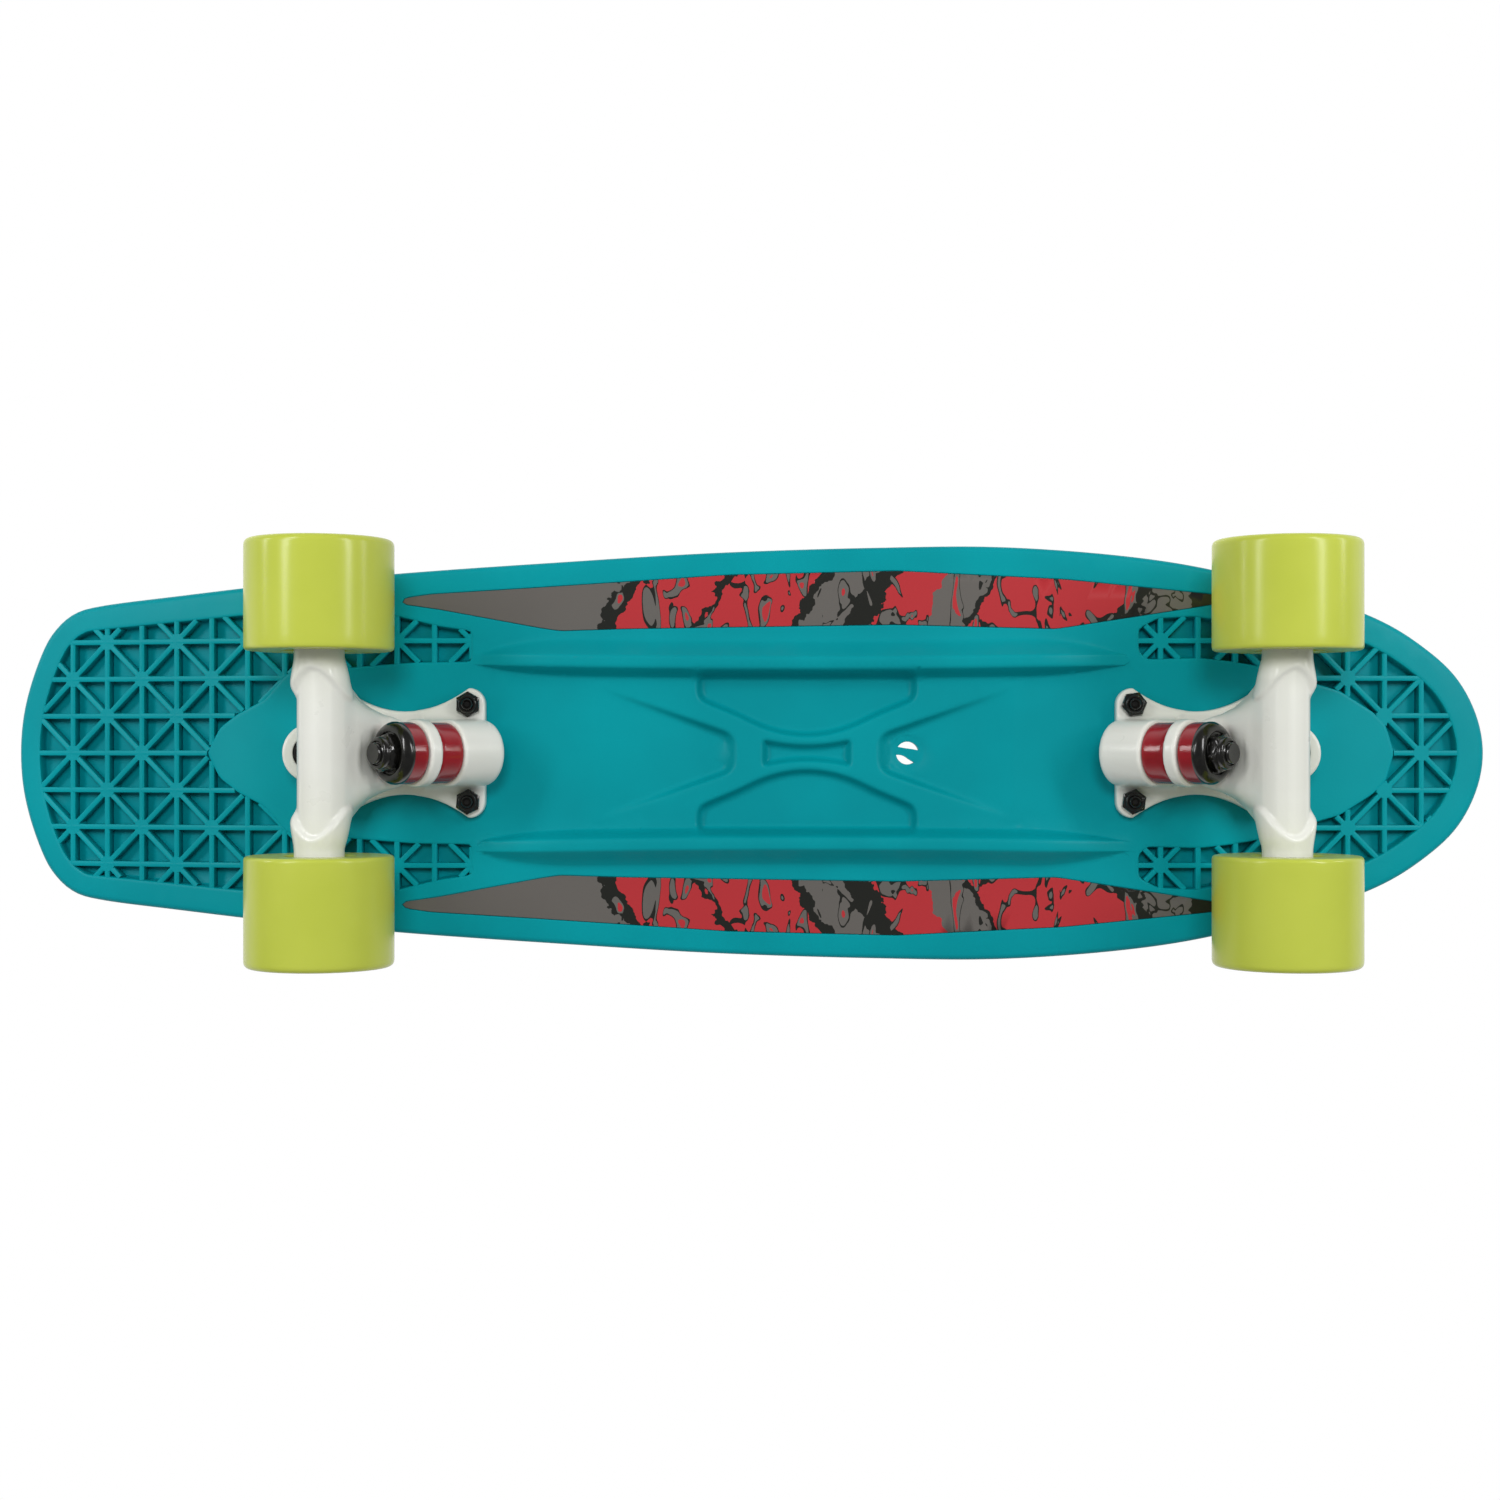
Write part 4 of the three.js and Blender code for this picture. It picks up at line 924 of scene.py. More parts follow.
ribs = {
    "pitch": 16,
    "rows": 40,  # each way, more than enough to cross the board
    "width": 2.3,
    "edgeRound": 0.5,
    "sink": 0.15,  # crests below the rim: along the board, across it and slanting
    "crossSink": 0.19,
    "diagonalSink": 0.23,
    "bossDiameter": 6.8,
    "bossDraft": 0.3,  # how much wider a boss is at its foot
    "bossSink": 0.1,
    "setback": {"tail": 55, "nose": -41.5},  # a lattice line inboard of the axle
    "overlap": 0.4,  # into the walls of the field
    "step": 8,
    "fineStep": 0.4,
}


# Each rib's whole line, and how far its crest is sunk
def latticeLines(originX):
    reach = np.arange(-2 * halfLength, 2 * halfLength, ribs["fineStep"])
    level = np.zeros(len(reach))
    for row in range(-ribs["rows"], ribs["rows"] + 1):
        place = row * ribs["pitch"]
        yield np.column_stack([originX + reach, level + place]), ribs["sink"]
        yield np.column_stack([level + originX + place, reach]), ribs["crossSink"]
        if row % 2:
            for turn in (1, -1):
                yield np.column_stack([originX + place + reach, turn * reach]), ribs["diagonalSink"]


# The parts of the ribs inside a field, as points a step apart
def latticeRuns(loop, originX):
    low, high = loop.min(axis=0) - 2, loop.max(axis=0) + 2
    runs = []
    for points, sink in latticeLines(originX):
        points = points[((points > low) & (points < high)).all(axis=1)]
        if len(points) < 4:
            continue
        inside = np.flatnonzero(loopDistance(points, loop) < ribs["overlap"])
        for run in np.split(inside, np.flatnonzero(np.diff(inside) > 1) + 1):
            if len(run) > 5:
                count = max(2, round(len(run) * ribs["fineStep"] / ribs["step"]) + 1)
                picks = run[np.round(np.linspace(0, len(run) - 1, count)).astype(int)]
                runs.append((points[picks], sink))
    return runs


def latticeMesh(loop, originX):
    points, edges = [], []
    for run, sink in latticeRuns(loop, originX):
        start = len(points)
        z = underZ + deckRise(run[:, 0]) + (deck["fieldDepth"] + sink) / 2
        points += np.column_stack([run, z]).tolist()
        edges += [(start + i, start + i + 1) for i in range(len(run) - 1)]
    rows = range(-ribs["rows"], ribs["rows"] + 1)
    steps = np.array([(i, j) for i in rows for j in rows if (i + j) % 2])
    bosses = steps * ribs["pitch"] + [originX, 0]
    bosses = bosses[loopDistance(bosses, loop) < -1]
    z = underZ + deckRise(bosses[:, 0]) + ribs["bossSink"]
    points = np.vstack([points, np.column_stack([bosses, z])])
    mesh = bpy.data.meshes.new("lattice")
    mesh.from_pydata((points * mm).tolist(), edges, [])
    marks = mesh.attributes.new("boss", "BOOLEAN", "POINT")
    marks.data.foreach_set("value", np.arange(len(points)) >= len(points) - len(bosses))
    x = points[:, 0]
    ways = np.column_stack([deckRise(x - 0.5) - deckRise(x + 0.5), np.zeros(len(x)), np.ones(len(x))])
    mesh.attributes.new("up", "FLOAT_VECTOR", "POINT").data.foreach_set("vector", ways.ravel())
    return mesh


def ribTree():
    tree, given = startTree("ribs", ("Rib width", "Rib height", "Edge round", "Boss radius", "Boss foot"))
    lattice, height = given["Geometry"], given["Rib height"]
    curve = addNode(tree, "GeometryNodeMeshToCurve", {"Mesh": lattice})
    upright = addNode(tree, "GeometryNodeSetCurveNormal", {"Curve": curve}, mode="Z_UP")
    section = addNode(tree, "GeometryNodeCurvePrimitiveQuadrilateral",
                      {"Width": given["Rib width"], "Height": height})
    profile = addNode(tree, "GeometryNodeFilletCurve",
                      {"Curve": section, "Count": 2, "Radius": given["Edge round"]}, mode="POLY")
    bars = addNode(tree, "GeometryNodeCurveToMesh",
                   {"Curve": upright, "Profile Curve": profile, "Fill Caps": True})
    marked = addNode(tree, "GeometryNodeInputNamedAttribute", {"Name": "boss"}, data_type="BOOLEAN")
    spots = addNode(tree, "GeometryNodeMeshToPoints",
                    {"Mesh": lattice, "Selection": marked.outputs["Attribute"]})
    boss = addNode(tree, "GeometryNodeMeshCone",
                   {"Vertices": 24, "Radius Top": given["Boss foot"], "Radius Bottom": given["Boss radius"],
                    "Depth": height})
    up = addNode(tree, "GeometryNodeInputNamedAttribute", {"Name": "up"}, data_type="FLOAT_VECTOR")
    turn = addNode(tree, "FunctionNodeAlignRotationToVector", {"Vector": up.outputs["Attribute"]}, axis="Z")
    bosses = addNode(tree, "GeometryNodeInstanceOnPoints",
                     {"Points": spots, "Instance": boss, "Rotation": turn})
    both = addNode(tree, "GeometryNodeJoinGeometry", {"Geometry": [bosses, bars]})
    endTree(tree, both, "deck_plastic")
    return tree


def ribPieces():
    tree = ribTree()
    sizes = {
        "Rib width": ribs["width"],
        "Rib height": deck["fieldDepth"] - ribs["sink"],
        "Edge round": ribs["edgeRound"],
        "Boss radius": ribs["bossDiameter"] / 2,
        "Boss foot": ribs["bossDiameter"] / 2 + ribs["bossDraft"],
    }
    for end, axle in (("tail", tailAxle), ("nose", noseAxle)):
        lattice = latticeMesh(fieldLoop(end), axle[0] + ribs["setback"][end])
        dress(grown(f"{end}_ribs", lattice, tree, sizes), "deck")


# Grip: small four-sided studs over the recessed part of the top

grip = {
    "pitch": 6.4,
    "studDiameter": 3.4,
    "studTop": 1.7,
    "studHeight": 0.6,
    "clearance": 2.4,  # from the edge of the recess
    "dropFrom": 60,  # above the underside, higher than the tail
}


def gripField():
    outer = moved(deckOutline(), -deck["gripMargin"] - grip["clearance"])
    pads = [moved(padLoop(end), grip["clearance"]) for end in (noseAxle[0], tailAxle[0])]
    drain = circleLoop((deck["holeX"], 0), deck["holeDiameter"] + 2 * grip["clearance"], 24)
    corners, faces, _, _ = facedSurface([outer], [*pads, drain], scattered(deck["meshStep"]))
    z = underZ + deck["thickness"] + deckRise(corners[:, 0]) - deck["gripDepth"]
    mesh = bpy.data.meshes.new("grip_field")
    mesh.from_pydata((np.column_stack([corners, z]) * mm).tolist(), [], faces.tolist())
    return mesh


def gripTree():
    names = ("Pitch", "Stud radius", "Stud top", "Stud height", "Length", "Width", "Above")
    tree, given = startTree("grip", names)
    spans, points = [], []
    for side in ("Length", "Width"):
        share = addNode(tree, "ShaderNodeMath", {0: given[side], 1: given["Pitch"]}, operation="DIVIDE")
        count = addNode(tree, "ShaderNodeMath", {0: share}, operation="ROUND")
        spans.append(addNode(tree, "ShaderNodeMath", {0: count, 1: given["Pitch"]}, operation="MULTIPLY"))
        points.append(addNode(tree, "ShaderNodeMath", {0: count, 1: 1}, operation="ADD"))
    sheet = addNode(tree, "GeometryNodeMeshGrid",
                    {"Size X": spans[0], "Size Y": spans[1],
                     "Vertices X": points[0], "Vertices Y": points[1]})
    # Two sheets of points above the board, half a pitch apart both ways, dropped onto the field
    sheets = []
    for shift in (0, 0.5):
        half = addNode(tree, "ShaderNodeMath", {0: given["Pitch"], 1: shift}, operation="MULTIPLY")
        offset = addNode(tree, "ShaderNodeCombineXYZ", {"X": half, "Y": half, "Z": given["Above"]})
        sheets.append(addNode(tree, "GeometryNodeTransform", {"Geometry": sheet, "Translation": offset}))
    both = addNode(tree, "GeometryNodeJoinGeometry", {"Geometry": sheets})
    drop = addNode(tree, "GeometryNodeRaycast",
                   {"Target Geometry": given["Geometry"], "Ray Direction": (0, 0, -1),
                    "Ray Length": 1}).outputs
    turn = addNode(tree, "FunctionNodeAlignRotationToVector", {"Vector": drop["Hit Normal"]}, axis="Z")
    kept = addNode(tree, "GeometryNodeCaptureAttribute", {"Geometry": both})
    for kind, name, value in (("BOOLEAN", "Hit", drop["Is Hit"]), ("ROTATION", "Turn", turn.outputs[0])):
        kept.capture_items.new(kind, name)
        tree.links.new(value, kept.inputs[name])
    landed = addNode(tree, "GeometryNodeSetPosition",
                     {"Geometry": kept, "Selection": drop["Is Hit"], "Position": drop["Hit Position"]})
    stud = addNode(tree, "GeometryNodeMeshCone",
                   {"Vertices": 4, "Radius Top": given["Stud top"], "Radius Bottom": given["Stud radius"],
                    "Depth": given["Stud height"]})
    studs = addNode(tree, "GeometryNodeInstanceOnPoints",
                    {"Points": landed, "Instance": stud, "Selection": kept.outputs["Hit"],
                     "Rotation": kept.outputs["Turn"]})
    endTree(tree, studs, "deck_plastic")
    return tree


def gripPiece():
    sizes = {
        "Pitch": grip["pitch"],
        "Stud radius": grip["studDiameter"] / 2,
        "Stud top": grip["studTop"] / 2,
        "Stud height": grip["studHeight"],
        "Length": 2 * halfLength,
        "Width": 2 * halfWidth,
        "Above": underZ + grip["dropFrom"],
    }
    dress(grown("grip_studs", gripField(), gripTree(), sizes, 20), "deck")


# Printed strips, glued into their recesses

strip = {
    "gap": 0.3,
    "thickness": 0.5,
    "edgeRound": 0.12,
    "meshStep": 9,
}


def stripPiece(side, name):
    loop = stripLoop(side, strip["gap"])
    flat, faces, rim, _ = facedSurface([moved(loop, -strip["edgeRound"])], [], scattered(strip["meshStep"]))
    layers = ((flat, 0), (loop, strip["edgeRound"]), (flat, strip["thickness"]))
    points = [np.column_stack([layer, np.full(len(layer), underZ + height)]) for layer, height in layers]
    above = len(flat) + len(loop)
    rims = [np.array(rim), len(flat) + np.arange(len(loop)), np.array(rim) + above]
    faces = [*faces[:, ::-1], *(faces + above), *band(*rims[:2]), *band(*rims[1:])]
    dress(meshPiece(name + "_film", np.vstack(points), faces, "graphic_film"), name)


ribPieces()
gripPiece()
stripPiece(1, "left_graphic_strip")
stripPiece(-1, "right_graphic_strip")
print("ribs, grip and strips made")


# Trucks, in millimetres from the axle's middle: x outboard, y across and z up; the tail truck is turned round

truck = {
    # Where a leaning axis passes beside the axle, and how far its +Z leans over outboard
    "kingpin": {"at": (-37, 15), "lean": 135},
    "pivot": {"at": (12.5, 40), "lean": 25},
    "plateTop": 51.7,
    "plateThickness": 6,
    "boltRow": (-54.5, -0.5),
    "boltGauge": 41.3,
    "meshStep": 0.7,
}
ends = {"nose": (noseAxle, 1), "tail": (tailAxle, -1)}


def atTruck(points, end):
    middle, facing = ends[end]
    return np.asarray(points) * [facing, facing, 1] + middle


# Points about an upright axis, leant over with the kingpin or the pivot
def leant(points, axis):
    (placeX, placeZ), turn = truck[axis]["at"], math.radians(truck[axis]["lean"])
    x, y, z = np.asarray(points, float).T
    outboard = placeX + x * math.cos(turn) + z * math.sin(turn)
    return np.column_stack([outboard, y, placeZ - x * math.sin(turn) + z * math.cos(turn)])


# How far along a leaning axis, and how far out from it in the plane of symmetry
def alongAxis(x, z, axis):
    (placeX, placeZ), turn = truck[axis]["at"], math.radians(truck[axis]["lean"])
    x, z = x - placeX, z - placeZ
    return x * math.sin(turn) + z * math.cos(turn), x * math.cos(turn) - z * math.sin(turn)


def facingOut(points, faces):
    points = np.asarray(points, float)
    volume = 0
    for face in faces:
        first = points[face[0]]
        for a, b in zip(face[1:-1], face[2:]):
            volume += first @ np.cross(points[a], points[b])
    return [tuple(face) if volume > 0 else tuple(reversed(face)) for face in faces]


# Rings of points about +Z joined by faces; a ring's radius or height may change round it
def ringedMesh(rows, sides):
    turn = turnsRound(sides)
    points, rings = [], []
    for radius, height in rows:
        start = len(points)
        if np.ndim(radius) == 0 and radius == 0:
            points.append((0, 0, np.mean(height)))
            rings.append([start] * sides)
        else:
            level = np.broadcast_to(height, sides)
            points += np.column_stack([radius * np.cos(turn), radius * np.sin(turn), level]).tolist()
            rings.append(list(range(start, start + sides)))
    closes = np.max(rows[0][0]) > 0
    faces = []
    for below, above in zip(rings, rings[1:] + rings[:1] if closes else rings[1:]):
        for i in range(sides):
            k = (i + 1) % sides
            corners = [below[i], below[k], above[k], above[i]]
            face = [c for n, c in enumerate(corners) if c != corners[n - 1]]
            if len(face) > 2:
                faces.append(face)
    return np.array(points, float), facingOut(points, faces)


# A curve between two profile points, bulging towards the corner
def eased(start, corner, end, steps=4):
    return [*map(tuple, bowed(start, corner, end, steps)), end]


def threaded(radius, start, end, pitch, depth):
    profile = []
    for i in range(int((end - start) / pitch)):
        quarters = [start + (i + quarter / 4) * pitch for quarter in range(4)]
        profile += zip((radius, radius, radius - depth, radius - depth), quarters)
    return profile


# A hexagon nut about +Z, standing on its seat, chamfered at both ends, with a crimped collar
def nutMesh(nut, sides=48):
    inner, corner, height = nut["flats"] / 2, nut["flats"] / math.sqrt(3), nut["hexHeight"]
    chamfer = inner * 0.96
    slope = (corner - chamfer) * 0.55
    turn = turnsRound(sides)
    hexagon = inner / np.cos((turn % (math.pi / 3)) - math.pi / 6)
    limits = [(chamfer, 0), (corner, slope), (corner, height - slope), (chamfer, height)]
    rows = [(np.minimum(hexagon, limit), z) for limit, z in limits]
    collar, bore, top, crimp = nut["collar"] / 2, nut["bore"] / 2, nut["height"], nut["crimp"]
    rounds = eased((collar, top - crimp), (collar, top), (collar - crimp, top))
    rows += [(collar, height + 0.05), *rounds, (bore + 0.2, top - 0.1), (bore, top - 0.4), (bore, 0)]
    return ringedMesh(rows, sides)


def spun(points, degrees):
    cos, sin = math.cos(math.radians(degrees)), math.sin(math.radians(degrees))
    x, y, z = np.asarray(points, float).T
    return np.column_stack([x * cos - y * sin, x * sin + y * cos, z])


# Castings: distance fields on a grid, meshed where they cross zero

def smoothJoin(a, b, reach):
    share = np.maximum(reach - np.abs(a - b), 0) / reach
    return np.minimum(a, b) - share * share * reach / 4


def smoothMeet(a, b, reach):
    return -smoothJoin(-a, -b, reach)


def smoothCut(a, b, reach):
    return -smoothJoin(-a, b, reach)


# Every edge of the grid that crosses the surface pulls the points of the four cells round it
def fieldMesh(field, low, step):
    cells = tuple(n - 1 for n in field.shape)
    total, count = np.zeros((*cells, 3)), np.zeros(cells)
    crossings = []
    for axis in range(3):
        order = (axis, (axis + 1) % 3, (axis + 2) % 3)
        turned = np.transpose(field, order)
        before, after = turned[:-1], turned[1:]
        crosses = (before < 0) != (after < 0)
        share = np.where(crosses, before / np.where(crosses, before - after, 1), 0)
        back = np.argsort(order)
        for a in (0, 1):
            for b in (0, 1):
                window = (slice(None), slice(a, a + cells[order[1]]), slice(b, b + cells[order[2]]))
                here = crosses[window]
                count += np.transpose(here, back)
                total[..., order[0]] += np.transpose(here * share[window], back)
                total[..., order[1]] += np.transpose(here * a, back)
                total[..., order[2]] += np.transpose(here * b, back)
        crossings.append((order, np.argwhere(crosses), before[crosses] < 0))
    used = count > 0
    number = np.full(cells, -1)
    number[used] = np.arange(used.sum())
    places = np.argwhere(used) + total[used] / count[used][:, None]
    faces = []
    for order, edges, inside in crossings:
        corner = np.zeros_like(edges)
        corner[:, list(order)] = edges
        around = []
        for a, b in ((-1, -1), (0, -1), (0, 0), (-1, 0)):
            cell = corner.copy()
            cell[:, order[1]] += a
            cell[:, order[2]] += b
            around.append(number[tuple(cell.T)])
        quads = np.column_stack(around)
        faces.append(np.where(inside[:, None], quads, quads[:, ::-1]))
    return relaxed(places, np.vstack(faces), field, low, step)


# Each point slides onto the field's zero, found between the grid's corners
def relaxed(places, faces, field, low, step):
    slopes = np.gradient(field)
    for _ in range(2):
        base = np.clip(np.floor(places).astype(int), 0, np.array(field.shape) - 2)
        share = places - base
        value, slope = np.zeros(len(places)), np.zeros((len(places), 3))
        for corner in np.ndindex(2, 2, 2):
            weight = np.prod(np.where(corner, share, 1 - share), axis=1)
            at = tuple((base + corner).T)
            value += weight * field[at]
            slope += weight[:, None] * np.column_stack([side[at] for side in slopes])
        size = np.sum(slope**2, axis=1)
        slide = slope * (value / np.maximum(size, 1e-9))[:, None]
        places = places - np.clip(slide, -0.4, 0.4)
    return np.array(low) + places * step, faces


# A field given on the half with y above zero, mirrored to both halves and meshed
def castMesh(fieldOf, low, high):
    step = truck["meshStep"]
    x, y, z = (np.arange(start, end, step) for start, end in zip((low[0], 0, low[1]), high))
    half = fieldOf(x[:, None, None], y[None, :, None], z[None, None, :])
    field = np.concatenate([half[:, :0:-1], half], axis=1)
    return fieldMesh(field, (x[0], -y[-1], z[0]), step)


# Distance to a loop over a sheet of points, given by its two rows of coordinates
def sheetDistance(first, second, loop):
    flat = np.column_stack([np.repeat(first.ravel(), second.size), np.tile(second.ravel(), first.size)])
    return loopDistance(flat, anticlockwise(loop)).reshape(first.size, second.size)


# Hanger

hanger = {
    "halfWidth": 50.8,
    "waist": 8.9,  # radii of the barrel, of its ends where they begin and of its ends by the wheels
    "shoulder": 11.5,
    "neck": 10.1,
    "collar": 6,
    "collarEnd": 51.5,
    "shoulderEdge": (23, 35.2, 27.5),  # across: inboard, towards the road and outboard
    "shoulderRun": (2.6, 6.5),  # over how much it swells, towards the road and outboard
    "taper": (28, 40),
    "ringRadius": 14,
    "ringThickness": 6.4,
    "ringSetback": 0.5,  # towards the board
    "bore": 7,
    "boreEnd": 8,  # past the ring's face
    "axleBore": 4.3,
    "stem": [(-37.5, 7.5), (-23, 7.4), (-5, 5.05), (0, 4.6)],  # distance up the stem, and its radius
    "ball": 4.6,
    # The arm's outline from the side, and its half from below
    "side": [(-31.34, 25.18), (-27.88, 28.65), (-18.9, 28.58), (-9.99, 23.34), (4.5, 8.5), (2, -4),
             (-1.5, -7.6), (-5, -6.3), (-10, -2.2), (-15, 4.5), (-19, 11), (-22.5, 17), (-25.5, 20.7),
             (-26.8, 20.7)],
    "plan": [(-52, 13.4), (-37, 14.2), (-27.5, 14.6), (-21.5, 16.2), (-16.5, 19), (-12.5, 23), (-9.5, 27.5),
             (-7.5, 33), (5, 33)],
    # Room round the washer and nut: along the kingpin, out in the plane of symmetry and across it
    "clearance": [(3.2, 13.7, 13.9), (11.8, 13.9, 15.6), (14.5, 12, 14.8), (20.5, 8.9, 13), (23, 6, 10)],
    "clearanceEnd": 23.5,
    "ringRoom": 14,  # behind the ring, for the bushing
    # How softly forms join, meet or cut each other
    "soft": {"barrelEnd": 1.6, "armEdge": 5, "ringEdge": 1, "arm": 7, "ring": 3, "ball": 1, "stem": 5,
             "clearance": 2, "ringRoom": 0.8},
    "grid": ((-54, -14), (20, 54, 47)),
}


def hangerField(x, y, z):
    soft = hanger["soft"]
    out = np.hypot(x, z) + 1e-6
    outboard = x / out
    inner, road, outer = hanger["shoulderEdge"]
    edge = road + (outer - inner) / 2 * outboard + ((outer + inner) / 2 - road) * outboard**2
    short, long = hanger["shoulderRun"]
    run = short + (long - short) * np.clip(outboard, 0, 1) ** 2
    rise = smoothStep((y - edge + run) / run)
    start, end = hanger["taper"]
    fall = smoothStep((y - start) / (end - start)) * rise
    radius = hanger["waist"] + (hanger["shoulder"] - hanger["waist"]) * rise
    radius = radius - (hanger["shoulder"] - hanger["neck"]) * fall
    barrel = smoothMeet(out - radius, y - hanger["halfWidth"], soft["barrelEnd"])
    collar = np.maximum(out - hanger["collar"], y - hanger["collarEnd"])

    side = sheetDistance(x, z, hanger["side"])[:, None, :]
    plan = sheetDistance(x, y, [*hanger["plan"], *[(px, -py) for px, py in hanger["plan"][::-1]]])[:, :, None]
    arm = smoothMeet(side, plan, soft["armEdge"])

    along, off = alongAxis(x, z, "kingpin")
    fromKingpin = np.hypot(off, y)
    half = hanger["ringThickness"] / 2
    fromRing = along + hanger["ringSetback"]
    ring = smoothMeet(fromKingpin - hanger["ringRadius"], np.abs(fromRing) - half, soft["ringEdge"])

    up, beside = alongAxis(x, z, "pivot")
    fromStem = np.hypot(beside, y)
    stem = np.maximum(fromStem - tabled(up, hanger["stem"]), np.maximum(up, hanger["stem"][0][0] - up))
    ball = np.hypot(fromStem, up) - hanger["ball"]

    body = smoothJoin(barrel, arm, soft["arm"])
    body = smoothJoin(body, ring, soft["ring"])
    body = smoothJoin(body, smoothJoin(stem, ball, soft["ball"]), soft["stem"])
    stops, inPlane, across = np.array(hanger["clearance"]).T
    inPlane, across = np.interp(along, stops, inPlane), np.interp(along, stops, across)
    clear = (np.hypot(off / inPlane, y / across) - 1) * inPlane
    clear = np.maximum(clear, np.maximum(half - fromRing, along - hanger["clearanceEnd"]))
    body = smoothCut(body, clear, soft["clearance"])
    behind = np.maximum(fromRing + half, -fromRing - hanger["ringRoom"])
    body = smoothCut(body, np.maximum(fromKingpin - hanger["ringRadius"], behind), soft["ringRoom"])
    body = np.maximum(body, np.minimum(hanger["bore"] - fromKingpin, half + hanger["boreEnd"] - along))
    return np.maximum(np.minimum(body, collar), hanger["axleBore"] - out)


# Baseplate

baseplate = {
    "earRadius": 7,
    "waist": 35.4,
    "kingpinBoss": {"radius": 14, "face": -14.9, "back": -36, "liftedTo": -37},
    "pivotBoss": {"middle": 10.4, "along": 11.35, "across": 12.5, "mouth": -5},
    "kingpinBore": 5.05,
    "headRoom": {"radius": 8.8, "floor": -29.7},
    "cupHole": {"radius": 7.5, "end": 8},
    "boltHole": 2.7,
    # How softly forms join, meet or cut each other
    "soft": {"plateEdge": 1.8, "bossFace": 1.2, "bossBack": 3, "mouth": 2, "boss": 6, "top": 0.6},
    "grid": ((-76, 12), (25, 31, 54)),
}


def plateOutline():
    inner, outer = truck["boltRow"]
    bolt, ear = truck["boltGauge"] / 2, baseplate["earRadius"]
    edge = bolt + ear
    quarter = np.linspace(0, math.pi / 2, 8)
    outerEar = [(outer + ear * math.cos(a), bolt + ear * math.sin(a)) for a in quarter]
    waist = bowed((outer, edge), ((inner + outer) / 2, baseplate["waist"] - edge), (inner, edge), 16)[1:]
    innerEar = [(inner - ear * math.sin(a), bolt + ear * math.cos(a)) for a in quarter]
    half = np.array([*outerEar, *waist, *innerEar])
    return np.vstack([half, half[::-1] * [1, -1]])


def baseplateField(x, y, z):
    soft = baseplate["soft"]
    top, thick = truck["plateTop"], truck["plateThickness"]
    plan = sheetDistance(x, y, plateOutline())[:, :, None]
    plate = smoothMeet(plan, top - thick - z, soft["plateEdge"])

    along, off = alongAxis(x, z, "kingpin")
    boss = baseplate["kingpinBoss"]
    trunk = np.hypot(np.maximum(off, 0), y) - boss["radius"]
    trunk = smoothMeet(trunk, np.maximum(along - boss["face"], x - boss["liftedTo"]), soft["bossFace"])
    trunk = smoothMeet(trunk, boss["back"] - along, soft["bossBack"])

    up, beside = alongAxis(x, z, "pivot")
    socket = baseplate["pivotBoss"]
    across = np.hypot((x - socket["middle"]) / socket["along"], y / socket["across"])
    cup = smoothMeet((across - 1) * socket["along"], socket["mouth"] - up, soft["mouth"])

    body = smoothJoin(smoothJoin(plate, trunk, soft["boss"]), cup, soft["boss"])
    body = smoothMeet(body, z - top, soft["top"])
    fromKingpin, fromPivot = np.hypot(off, y), np.hypot(beside, y)
    head, hole = baseplate["headRoom"], baseplate["cupHole"]
    body = np.maximum(body, baseplate["kingpinBore"] - fromKingpin)
    body = np.maximum(body, -np.maximum(fromKingpin - head["radius"], along - head["floor"]))
    body = smoothCut(body, np.maximum(fromPivot - hole["radius"], up - hole["end"]), soft["top"])
    for place in truck["boltRow"]:
        body = np.maximum(body, baseplate["boltHole"] - np.hypot(x - place, y - truck["boltGauge"] / 2))
    return body


# Pieces of a truck, each made once and placed at both ends

kingpin = {
    "radius": 4.75,
    "threadFrom": 9,
    "threadPitch": 1.06,
    "threadDepth": 0.4,
    "end": 21.9,
    "tipRadius": 4.1,
    "headRadius": 8.5,
    "head": (-36, -30),
    "headChamfer": 0.6,
}
kingpinNut = {"flats": 14.3, "hexHeight": 4.4, "height": 7, "collar": 13.3, "crimp": 1.5, "bore": 10,
              "seat": 13.2, "turn": 12}
washer = {
    "inside": [(5.05, 11.8), (10.6, 11.8), (11.5, 11.4), (11.9, 10.6), (12.1, 9.8)],
    "rim": [(12.4, 9.55), (12.8, 9.8)],
    "dome": [(12.95, 10.7), (12.85, 11.6), (12.45, 12.6), (11.8, 13.5), (10.9, 14.2), (10, 14.5), (9.3, 14.5),
             (8.8, 14.2), (8.55, 13.25), (5.05, 13.12)],
}
bushings = {
    "bushing_board_side": (-14.65, -3.95),
    "bushing_road_side": (2.95, 11.6),
}
bushing = {
    "radius": 12.7,
    "endRadius": 12.2,
    "round": 0.5,
    "bore": 6.1,
    "stiffEnd": 1.2,  # how far in from each end the points are found; the bushing is not bent
}
pivotCup = {
    "outside": [(0, 7.7), (4.9, 7.7), (6.4, 6.9), (7.2, 4.6), (7.2, -4.7), (6.9, -5)],
    "inside": [(6.5, -4.9), (6.1, -4.2), (5.3, -2.6)],
    "seat": 5,
}
axle = {"radius": 3.97, "end": 84.5, "threadFrom": 75.5, "threadPitch": 0.9, "threadDepth": 0.3,
        "chamfer": 0.7}
axleNut = {"flats": 12.7, "hexHeight": 4.9, "height": 7, "collar": 10.6, "crimp": 0.9, "bore": 8.2,
           "seat": 76.8, "turn": 15}
speedWasher = {"inner": 4.1, "outer": 6, "thickness": 0.7, "chamfer": 0.15}
